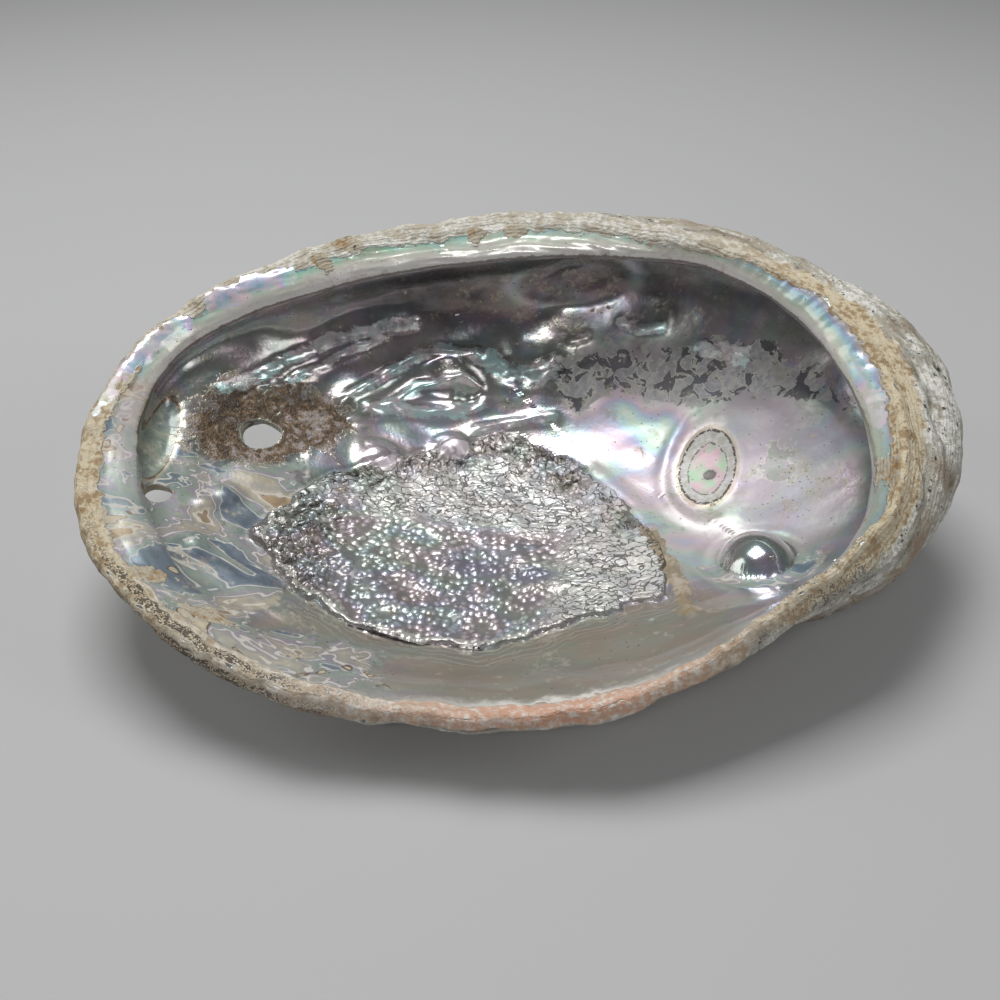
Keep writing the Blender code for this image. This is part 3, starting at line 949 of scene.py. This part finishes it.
    def drop_unused(self):
        """Takes out the nodes that lead nowhere, which belong to marks that this piece lacks."""
        ends = ("OUTPUT_MATERIAL", "BSDF_PRINCIPLED")
        idle = [True]
        while idle:
            idle = [
                node for node in self.tree.nodes
                if node.type not in ends and not any(socket.is_linked for socket in node.outputs)
            ]
            for node in idle:
                self.tree.nodes.remove(node)


PASTELS = (
    (0.00, (0.84, 0.70, 0.75)),
    (0.16, (0.78, 0.76, 0.70)),
    (0.30, (0.52, 0.80, 0.58)),
    (0.44, (0.34, 0.74, 0.76)),
    (0.56, (0.38, 0.52, 0.86)),
    (0.70, (0.60, 0.46, 0.80)),
    (0.86, (0.88, 0.54, 0.66)),
    (1.00, (0.84, 0.70, 0.75)),
)
# The pale pink-white stops near the inner lip are a painted highlight.
LEDGE_TONES = (  # from the rim to the inner lip
    (0.00, (0.54, 0.50, 0.42)),
    (0.10, (0.52, 0.50, 0.46)),
    (0.18, (0.40, 0.43, 0.62)),
    (0.29, (0.32, 0.62, 0.70)),
    (0.42, (0.46, 0.74, 0.52)),
    (0.56, (0.76, 0.80, 0.62)),
    (0.72, (0.90, 0.90, 0.86)),
    (0.88, (0.92, 0.76, 0.82)),
    (1.00, (0.66, 0.60, 0.57)),
)
PEELED = (
    (0.00, (0.10, 0.15, 0.20)),
    (0.24, (0.22, 0.28, 0.34)),
    (0.40, (0.34, 0.42, 0.34)),
    (0.55, (0.40, 0.34, 0.43)),
    (0.68, (0.44, 0.42, 0.36)),
    (0.80, (0.58, 0.52, 0.40)),
    (1.00, (0.42, 0.29, 0.15)),
)
STAIN_TONES = (
    (0.00, (0.030, 0.022, 0.014)),
    (0.30, (0.090, 0.055, 0.028)),
    (0.50, (0.20, 0.125, 0.060)),
    (0.68, (0.33, 0.24, 0.14)),
    (0.85, (0.50, 0.42, 0.30)),
    (1.00, (0.60, 0.58, 0.52)),
)
SILVER = (0.66, 0.66, 0.65)
# Tones of the painted shade and dark reflection on the back wall.
CHARCOAL = (0.105, 0.096, 0.094)
PLUM = (0.20, 0.135, 0.155)
ETCHED_GREY = (0.55, 0.545, 0.54)
ETCHED_DULL = (0.36, 0.35, 0.36)
ISLAND = (0.10, 0.095, 0.11)
CHALK_LINE = (0.62, 0.60, 0.53)
FRONT_GREEN = (0.26, 0.26, 0.20)
FRONT_BROWN = (0.30, 0.24, 0.17)
BROWN = (0.16, 0.095, 0.045)
UMBER = (0.07, 0.045, 0.025)
# Near-black of the dark seams and specks, and of the painted shade in crevices and pits.
DARK_MARK_AND_SHADE = (0.030, 0.024, 0.017)
CHALK = (0.50, 0.49, 0.42)
TAN = (0.34, 0.28, 0.19)
BEIGE = (0.50, 0.45, 0.35)
CREAM = (0.66, 0.55, 0.35)
SALMON = (0.66, 0.38, 0.26)
WHITE = (0.80, 0.78, 0.72)
OCHRE = (0.34, 0.20, 0.075)
BRICK = (0.33, 0.20, 0.14)
# Tone of the painted shade between the scar's beads.
BEAD_GAP_SHADE = (0.15, 0.145, 0.13)
EYE_GREEN = (0.42, 0.66, 0.42)
EYE_PINK = (0.74, 0.52, 0.58)
NUB_PINK = (0.84, 0.75, 0.80)
VIOLET = (0.25, 0.24, 0.34)
MAUVE = (0.40, 0.36, 0.40)
LICHEN = (0.30, 0.36, 0.28)
OLIVE = (0.17, 0.14, 0.085)
TEAL = (0.15, 0.19, 0.185)
# Tones of the painted highlight on the wall folds and the ledge.
BRIGHT = (0.90, 0.92, 0.90)
BRIGHT_CYAN = (0.62, 0.90, 0.88)
BRIGHT_PINK = (0.92, 0.72, 0.80)
PIT_GREY = (0.17, 0.16, 0.155)
# Tone of the painted highlight inside the ledge's lip.
LIP_GLOW = (0.86, 0.76, 0.78)

# Marks that a piece doesn't have, with the value that keeps what they draw away from it.
NOT_ON_SKIN = {"scar": 0.0, "beads": 0.0, "chunks": 0.0, "violet": 0.0}
NOT_ON_SCAR = {
    **dict.fromkeys(("etched", "peel", "stain", "pit", "ledge", "front", "lichen", "gleam", "patch"), 0.0),
    **dict.fromkeys(("folded", "salmon", "cream", "dirt", "dull", "streak"), 0.0),
    **dict.fromkeys(("oval", "eye", "pearl"), 3.0),
}


def shell_material(name, absent):
    """Nacre and chalky crust, told apart by the marks on the mesh, without what absent marks draw."""
    g = Graph(name, absent)
    wall = 1.0 if "scar" in absent else 0.0
    broad = g.cloud(16, detail=1.0, seed=3)
    mid = g.cloud(4.5, seed=7)
    small = g.cloud(1.5, seed=11)
    grain = g.cloud(0.45, detail=1.0, seed=17)
    fine_dots, dots, wide_dots = g.dots(0.9), g.dots(1.5), g.dots(2.3)
    crevice = g.mark("crevice")
    scar = g.mark("scar")
    pearly = g.mark("pearly")
    growth = g.mark("growth")
    salmon = g.mark("salmon")
    tint_share = g.mark("tint")

    ragged = g.add(pearly, g.times(mid, 1.2), g.times(small, 0.6))
    patch = g.step(g.add(g.mark("patch"), g.times(mid, 0.30), g.times(small, 0.15)), 0.50, 0.60)
    gleam = g.step(g.add(g.mark("gleam"), g.times(mid, 0.28), g.times(small, 0.12)), 0.42, 0.52)
    nacre = g.most(g.times(g.step(ragged, -0.25, 0.25), g.less(patch)), gleam) if wall else 1.0

    # Pearly colours.
    phase = g.add(g.mark("hue"), g.times(broad, 0.22), g.times(mid, 0.13), g.times(small, 0.03))
    rainbow = g.ramp(g.math("FRACT", phase), PASTELS)
    tint = g.math("MINIMUM", g.add(tint_share, g.times(broad, 0.12)), 1.0)
    pearl = g.mix(tint, SILVER, rainbow)
    # Painted shade and dark reflection: the shade mark turns the nacre charcoal and plum.
    shade = g.times(g.mark("shade"), g.add(0.88, g.times(mid, 0.14), g.times(small, 0.05)))
    pearl = g.mix(shade, pearl, g.mix(g.step(broad, -0.2, 0.9), CHARCOAL, PLUM))
    # Painted highlight: bright flash tones along the fold crests and the ledge's gleams, laid on further
    # down.
    drawn = g.cloud(3.2, detail=3.0, stretch=(0.4, 0.7, 1), seed=41)
    streak = g.step(g.add(g.mark("streak"), g.times(drawn, 0.42), g.times(small, 0.12)), 0.34, 0.62)
    streak = g.times(wall, g.most(streak, gleam))
    flash = g.mix(g.step(mid, -0.1, 0.8), g.mix(g.step(broad, -0.5, 0.3), BRIGHT_CYAN, BRIGHT), BRIGHT_PINK)
    flash = g.mix(g.times(gleam, 0.55), flash, rainbow)
    dull = g.step(g.add(g.mark("dull"), g.times(mid, 0.2)), 0.2, 0.8)
    pearl = g.mix(g.times(dull, 0.75), pearl, MAUVE)
    lichen = g.add(g.mark("lichen"), g.times(mid, 0.35), g.times(small, 0.25))
    lichen_tone = g.mix(g.step(small, -0.5, 0.5), LICHEN, MAUVE)
    pearl = g.mix(g.times(g.step(lichen, 0.45, 0.60), 0.8), pearl, lichen_tone)
    pearl = g.mix(g.times(g.line(lichen, 0.47, 0.07), 0.6), pearl, CHALK_LINE)
    ledge = g.mark("ledge")
    ledge_place = g.add(g.mark("across"), g.times(broad, 0.09), g.times(mid, 0.07), g.times(small, 0.02))
    # Ledge tones, with a painted highlight near the inner lip.
    pearl = g.mix(g.times(ledge, 0.92), pearl, g.ramp(ledge_place, LEDGE_TONES))
    front = g.times(g.mark("front"), 0.85)
    streaks = g.cloud(5, detail=1.0, stretch=(0.25, 1, 1), seed=23)
    pearl = g.mix(front, pearl, g.mix(g.step(streaks, -0.7, 0.8), FRONT_GREEN, FRONT_BROWN))

    # Peeled layers: islands with thin chalky outlines.
    level = g.cloud(15, detail=3.0, warp=0.5, stretch=(0.7, 1.2, 1.2), seed=29)
    peel = g.add(g.mark("peel"), g.times(mid, 0.30), g.times(small, 0.12))
    peel = g.times(wall, g.step(peel, 0.35, 0.60))
    peeled = g.ramp(g.math("MULTIPLY_ADD", level, 0.70, 0.5), PEELED)
    outline = g.most(g.line(level, -0.35, 0.055), g.line(level, 0.12, 0.05), g.line(level, 0.55, 0.07))
    pearl = g.mix(g.times(peel, 0.85), pearl, peeled)
    peel_line = g.times(peel, outline)
    pearl = g.mix(g.times(peel_line, 0.85), pearl, CHALK_LINE)
    island_noise = g.add(g.cloud(9, warp=0.6, stretch=(0.7, 1.1, 1.1), seed=53), g.times(growth, -0.035))
    buff = g.times(peel, g.step(island_noise, 0.10, 0.16))
    pearl = g.mix(g.times(buff, 0.9), pearl, g.mix(g.step(g.add(small, mid), -0.6, 0.9), BEIGE, CREAM))
    pearl = g.mix(g.times(peel, g.line(island_noise, 0.11, 0.07), 0.8), pearl, BROWN)

    etched = g.add(g.mark("etched"), g.times(broad, 0.25), g.times(mid, 0.35), g.times(small, 0.20))
    etched = g.times(wall, g.step(etched, 0.45, 0.60))
    flaked = g.add(g.cloud(5.5, warp=1.0, seed=31), g.times(small, 0.15))
    island = g.step(flaked, 0.10, 0.16)
    rimmed = g.line(flaked, 0.08, 0.10)
    etched_tone = g.mix(g.step(g.add(mid, small), -0.6, 0.8), ETCHED_DULL, ETCHED_GREY)
    pearl = g.mix(g.times(etched, 0.85), pearl, g.mix(island, etched_tone, ISLAND))
    pearl = g.mix(g.times(etched, rimmed, 0.8), pearl, CHALK_LINE)

    oval = g.add(g.mark("oval"), g.times(small, 0.03))
    in_oval = g.step(oval, 1.02, 0.92)
    pearl = g.mix(g.times(in_oval, 0.85), pearl, g.mix(g.step(g.add(mid, broad), -0.8, 1.0), TEAL, LICHEN))
    pearl = g.mix(g.times(g.line(oval, 1.14, 0.14), 0.7), pearl, BEIGE)
    pearl = g.mix(g.times(g.line(oval, 1.03, 0.07), 0.8), pearl, BROWN)

    stain_noise = g.add(g.mark("stain"), g.times(mid, 0.42), g.times(small, 0.26))
    stain_noise = g.add(stain_noise, g.times(broad, 0.25))
    stain_edge = g.mix(g.step(small, -0.6, 0.6), TAN, CHALK)
    pearl = g.mix(g.times(g.step(stain_noise, 0.10, 0.45), 0.6), pearl, stain_edge)
    stain = g.times(wall, g.step(stain_noise, 0.42, 0.80))
    rust = g.add(g.times(small, 0.9), mid, g.times(broad, 1.2), g.times(grain, 0.3))
    rust = g.ramp(g.math("MULTIPLY_ADD", rust, 0.27, 0.42), STAIN_TONES)
    mossy = g.times(g.step(g.add(mid, g.times(broad, 1.6), g.times(small, 0.5)), 0.0, 0.5), 0.75)
    rust = g.mix(mossy, rust, g.mix(g.step(g.add(small, grain), -0.7, 0.7), TAN, MAUVE))
    pearl = g.mix(g.times(stain, 0.95), pearl, rust)

    # The scar: bright beads, dark seams, brown specks and a dark outline.
    beads = g.mark("beads")
    pearl = g.mix(g.times(scar, g.less(beads), 0.45), pearl, g.mix(g.step(mid, -0.8, 0.8), CHALK, SILVER))
    # Painted shade in the gaps between the beads.
    pearl = g.mix(g.times(beads, crevice, 0.9), pearl, BEAD_GAP_SHADE)
    pearl = g.mix(g.times(g.step(g.add(g.mark("violet"), g.times(mid, 0.2)), 0.2, 0.8), 0.7), pearl, VIOLET)
    chunks = g.mark("chunks")
    aged = g.times(chunks, g.step(g.add(mid, g.times(broad, 0.6), g.times(small, 0.4)), -0.2, 0.8))
    pearl = g.mix(g.times(aged, 0.65), pearl, OLIVE)
    wavy = g.times(scar, g.less(beads), g.less(chunks))
    nub = g.step(g.add(g.mark("nubs"), g.times(small, 0.1)), 0.25, 0.40)
    pearl = g.mix(g.times(wavy, 0.6), pearl, g.mix(g.step(g.add(mid, small), -0.5, 0.6), SILVER, WHITE))
    squiggle = g.times(wavy, g.step(g.edges(2.2, 3.4, 4.6, (0.42, 1.0, 1.0)), 0.075, 0.02))
    chunk_line = g.times(chunks, g.step(g.edges(3.9, 2.6, 4.4), 0.055, 0.02))
    seam = g.times(g.most(g.times(squiggle, 0.9), chunk_line), g.less(nub))
    pearl = g.mix(g.times(scar, g.step(g.add(mid, small), 0.95, 1.5), 0.6), pearl, BROWN)
    deep = g.add(g.mark("deep"), g.times(small, 0.25))
    outlined = g.line(deep, 0.0, 0.42)
    bright_rim = g.times(g.line(deep, 1.1, 0.9), beads)
    pearl = g.mix(g.times(bright_rim, 0.6), pearl, WHITE)
    contour = g.times(g.line(g.math("FRACT", g.times(g.math("ABSOLUTE", deep), 0.62)), 0.5, 0.16),
                      g.step(deep, -0.2, -0.8), g.step(deep, -9.0, -5.0))
    pearl = g.mix(g.times(contour, g.mark("front"), 0.35), pearl, CHALK_LINE)
    flake = g.step(g.add(g.mark("flake"), g.times(small, 0.22), g.times(mid, 0.25)), 0.42, 0.54)
    pearl = g.mix(g.times(flake, 0.9), pearl, g.mix(0.35, rust, CREAM))

    # The eye of the spire.
    eye = g.add(g.mark("eye"), g.times(small, 0.02), g.times(mid, 0.015))
    in_eye = g.step(eye, 1.0, 0.97)
    eye_tone = g.mix(g.step(g.add(mid, broad), -0.6, 0.6), EYE_GREEN, EYE_PINK)
    eye_tone = g.mix(g.step(eye, 0.60, 0.72), eye_tone, g.mix(g.step(small, -0.6, 0.6), SILVER, CHALK))
    pearl = g.mix(g.times(in_eye, 0.85), pearl, eye_tone)
    eye_lines = g.most(g.line(eye, 1.0, 0.045), g.times(g.line(eye, 0.69, 0.030), 0.7))
    eye_lines = g.times(eye_lines, g.step(g.add(small, grain), -0.5, 0.4))
    ring_tan = g.times(g.line(eye, 1.07, 0.10), 0.7)
    pearl = g.mix(ring_tan, pearl, TAN)
    pit = g.mark("pit")
    pearl = g.mix(g.times(g.step(pit, 0.35, 0.55), 0.9), pearl, PIT_GREY)
    pit_holes = g.times(g.step(pit, 0.6, 0.8), g.step(dots, 0.36, 0.26))

    # Small pearls over the scar's upper edge.
    pearl = g.mix(g.times(nub, 0.9), pearl, NUB_PINK)

    lip = g.add(g.mark("lip"), g.times(small, 0.25))
    folded = g.mark("folded")
    lip_line = g.times(g.line(lip, 1.3, 0.75), folded)
    # Painted highlight: a pink-white glow just inside the ledge's lip.
    glow = g.times(g.line(lip, -1.4, 2.2), folded, 0.35)
    pearl = g.mix(glow, pearl, LIP_GLOW)
    pearl = g.mix(g.times(lip_line, 0.7), pearl, UMBER)
    # The painted highlight along the fold crests and the ledge's gleams goes on here.
    brushed = g.step(g.add(drawn, g.times(small, 0.5)), -0.6, 0.4, 0.25, 0.92)
    pearl = g.mix(g.times(streak, brushed), pearl, flash)
    rim_white = g.times(salmon, g.step(ragged, 3.4, 0.4))
    pearl = g.mix(g.times(rim_white, 0.9), pearl, WHITE)

    # Chalky colours.
    bands = g.math("SINE", g.add(g.times(growth, 2.1), g.times(broad, 3.5), g.times(mid, 1.6)))
    chalk = g.mix(g.step(g.add(mid, g.times(bands, 0.35), g.times(broad, 0.7)), -1.4, 0.4), TAN, CHALK)
    chalk = g.mix(g.step(g.add(small, g.times(broad, 0.9), g.times(bands, 0.25)), -0.1, 0.9), chalk, WHITE)
    stained = g.step(g.add(g.times(broad, -1.2), g.times(bands, 0.25), g.times(mid, 0.4)), 0.2, 0.9)
    chalk = g.mix(g.times(stained, 0.55), chalk, BRICK)
    near_rim = g.step(g.math("SUBTRACT", g.add(growth, g.times(mid, 1.4)), g.mark("margin")), 2.2, 0.4)
    edge = g.mix(g.step(g.add(mid, small), -0.8, 1.2), BEIGE, WHITE)
    creamy = g.mix(g.step(g.add(mid, small), -0.9, 0.1), OCHRE, CREAM)
    edge = g.mix(g.times(g.mark("cream"), 0.75), edge, creamy)
    edge = g.mix(salmon, edge, g.mix(g.step(small, -0.4, 1.2), SALMON, WHITE))
    chalk = g.mix(near_rim, chalk, edge)
    chalk = g.mix(patch, chalk, g.mix(g.step(g.add(small, mid), -1.1, 0.5), OCHRE, BEIGE))
    dirt = g.mark("dirt")
    outer = g.step(pearly, -1.2, -2.2)
    soiled = g.add(g.times(mid, 0.35), g.times(small, 0.6), g.times(grain, 0.9), g.times(dirt, 0.5))
    soiled = g.times(g.math("MINIMUM", dirt, 1.0), g.step(soiled, 0.35, 0.70))
    soiled = g.times(soiled, g.step(growth, 11.0, 4.0), g.step(pearly, -1.7, -2.6))
    chalk = g.mix(g.times(soiled, 0.9), chalk, UMBER)
    uneven = g.add(g.times(small, 0.09), g.times(grain, 0.06))
    fine_specks = g.step(g.add(fine_dots, uneven), 0.26, 0.17)
    wide_specks = g.step(g.add(wide_dots, uneven), 0.24, 0.16)
    wrinkle = g.math("SINE", g.add(g.times(growth, 5.3), g.times(broad, 5.0), g.times(mid, 2.4)))
    speckled = g.step(g.add(g.times(bands, 0.7), g.times(mid, 0.8), g.mark("worn")), 0.1, 0.8)
    pitted = g.times(speckled, g.add(0.10, g.times(outer, g.less(near_rim), 0.90)))
    speck = g.times(g.most(fine_specks, wide_specks), pitted)

    colour = g.mix(nacre, chalk, pearl)
    dust = g.times(wall, g.step(wide_dots, 0.115, 0.07), 0.7)
    freckled = g.step(g.add(g.mark("dull"), g.times(broad, 0.6)), 0.9, 1.3)
    freckle = g.times(wall, g.step(dots, 0.17, 0.11), freckled, 0.8)
    chalk_pits = g.times(g.less(nacre), g.most(crevice, speck))
    # Near-black seams, freckles, outlines, eye lines and specks, with painted shade in the crevices, pits
    # and holes.
    dark = g.times(nacre, g.most(seam, freckle, g.times(outlined, 0.8), eye_lines, pit_holes, dust))
    dark = g.most(dark, chalk_pits, g.times(nacre, crevice, g.less(beads), 0.7))
    colour = g.mix(g.times(g.math("MINIMUM", dark, 1.0), 0.88), colour, DARK_MARK_AND_SHADE)

    chalky = g.most(g.times(etched, g.less(island), 0.9), g.times(stain, 0.9), peel_line, dark, flake)
    chalky = g.most(chalky, rim_white, buff, g.times(in_eye, 0.6), lip_line, g.times(front, 0.6))
    chalky = g.most(chalky, g.times(peel, 0.5), g.times(scar, g.less(beads), 0.5))
    satin = g.mark("satin")
    most_metal = g.add(0.80, g.times(ledge, -0.62), g.times(satin, -0.36))
    most_metal = g.add(most_metal, g.times(dull, -0.18), g.times(beads, -0.36))
    most_metal = g.times(most_metal, g.less(g.times(streak, 0.25)), g.less(g.times(in_oval, 0.6)))
    metal = g.times(nacre, g.less(g.math("MINIMUM", chalky, 1.0)), most_metal)
    gloss = g.add(0.25, g.times(small, 0.03), g.times(scar, 0.10), g.times(chalky, 0.22))
    gloss = g.add(gloss, g.times(satin, 0.19), g.times(dull, 0.08))
    gloss = g.times(gloss, g.step(g.mark("pearl"), 0.95, 1.05, 0.62, 1.0))
    rough = g.blend(nacre, g.add(0.80, g.times(small, 0.06)), gloss)

    pits = g.times(wide_specks, pitted, -0.40)
    chalk_height = g.add(g.times(small, 0.12), g.times(grain, 0.06), g.times(mid, 0.12), pits)
    chalk_height = g.add(chalk_height, g.times(bands, 0.06), g.times(wrinkle, 0.05))
    calm = g.step(g.mark("pearl"), 0.95, 1.1)
    fine = g.times(small, 0.014, calm)
    fine = g.add(fine, g.times(squiggle, -0.20), g.times(outlined, scar, -0.25))
    fine = g.add(fine, g.times(stain, g.add(small, g.times(grain, 0.5)), 0.20), g.times(eye_lines, -0.12))
    g.bump(g.blend(nacre, g.add(0.2, chalk_height), fine))
    g.put(g.shader.inputs["Base Color"], colour)
    g.put(g.shader.inputs["Metallic"], metal)
    g.put(g.shader.inputs["Roughness"], rough)
    coat = g.times(nacre, g.less(g.math("MINIMUM", chalky, 1.0)), g.less(g.times(satin, 0.75)), 0.7)
    g.put(g.shader.inputs["Coat Weight"], coat)
    g.shader.inputs["Coat Roughness"].default_value = 0.12
    g.drop_unused()
    return g.material


def collection_named(name):
    collection = bpy.data.collections.new(name)
    bpy.context.scene.collection.children.link(collection)
    return collection


def cut_pores(shell):
    """Cuts the open pores through the wall and keeps the cut mesh."""
    cutters = collection_named("cutters")
    for i, (centre, axis, half_long, half_wide) in enumerate(OPEN_PORES):
        cutter = pore_cutter(f"pore_{i + 1}", centre, axis, half_long, half_wide, cutters)
        cut = shell.modifiers.new(cutter.name, "BOOLEAN")
        cut.operation = "DIFFERENCE"
        cut.solver = "EXACT"
        cut.object = cutter
    bpy.context.view_layer.update()
    seen = shell.evaluated_get(bpy.context.evaluated_depsgraph_get())
    cut_mesh = bpy.data.meshes.new_from_object(seen)
    shell.modifiers.clear()
    shell.data = cut_mesh
    for cutter in list(cutters.objects):
        bpy.data.objects.remove(cutter, do_unlink=True)


def make_pieces():
    pieces = collection_named("shell_looks")
    shell = bpy.data.objects.new("shell_skin", shell_mesh())
    scar = bpy.data.objects.new("muscle_scar", scar_mesh())
    shell.data.materials.append(shell_material("nacre_and_crust", NOT_ON_SKIN))
    scar.data.materials.append(shell_material("scar_crust", NOT_ON_SCAR))
    for piece in (shell, scar):
        pieces.objects.link(piece)
    cut_pores(shell)
    for piece in (shell, scar):
        piece.data.shade_smooth()
        piece.data.set_sharp_from_angle(angle=math.radians(75))
        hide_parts("shell")
        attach(piece, "root")


def floor():
    mesh = bpy.data.meshes.new("floor")
    bm = bmesh.new()
    bmesh.ops.create_grid(bm, x_segments=1, y_segments=1, size=4.0)
    bm.to_mesh(mesh)
    bm.free()
    obj = bpy.data.objects.new("floor", mesh)
    bpy.context.scene.collection.objects.link(obj)
    material = bpy.data.materials.new("floor")
    material.use_nodes = True
    shader = material.node_tree.nodes["Principled BSDF"]
    shader.inputs["Base Color"].default_value = (0.50, 0.50, 0.50, 1)
    shader.inputs["Roughness"].default_value = 0.7
    mesh.materials.append(material)


def area_light(name, place, aim, size, power, colour=(1, 1, 1)):
    light = bpy.data.lights.new(name, "AREA")
    light.shape = "RECTANGLE"
    light.size, light.size_y = size
    light.energy = power
    light.color = colour
    obj = bpy.data.objects.new(name, light)
    obj.location = place
    obj.rotation_euler = (Vector(aim) - Vector(place)).to_track_quat("-Z", "Y").to_euler()
    bpy.context.scene.collection.objects.link(obj)


def lights():
    area_light("key", (-0.15, 0.30, 1.0), (0, 0, 0), (0.55, 0.45), 8.0)
    area_light("left", (-0.8, 0.1, 0.5), (0, 0, 0.03), (0.3, 0.5), 0.8)
    area_light("right", (0.9, -0.2, 0.6), (0, 0, 0.03), (0.3, 0.5), 1.4)
    area_light("front", (-0.15, -0.75, 0.75), (0, 0, 0.03), (0.30, 0.14), 1.6)
    world = bpy.data.worlds.new("studio")
    world.use_nodes = True
    sky = world.node_tree.nodes["Background"]
    sky.inputs["Color"].default_value = (0.93, 0.95, 1.0, 1)
    sky.inputs["Strength"].default_value = 0.09
    bpy.context.scene.world = world
    bpy.context.scene.view_settings.view_transform = "Standard"


def camera():
    """The photograph's view: 37 degrees down, from in front of the outer lip."""
    place = world_frame()
    aim = place @ Vector((3.2, -25.7, 0.0))
    pitch = math.radians(37.0)
    far = 237.1
    data = bpy.data.cameras.new("camera")
    data.lens = 37.8
    data.sensor_width = 36.0
    data.clip_start = 0.01
    obj = bpy.data.objects.new("camera", data)
    obj.location = (aim + far * Vector((0, -math.cos(pitch), math.sin(pitch)))) * MM
    obj.rotation_euler = (math.pi / 2 - pitch, 0, 0)
    bpy.context.scene.collection.objects.link(obj)
    bpy.context.scene.camera = obj


make_pieces()
floor()
lights()
camera()
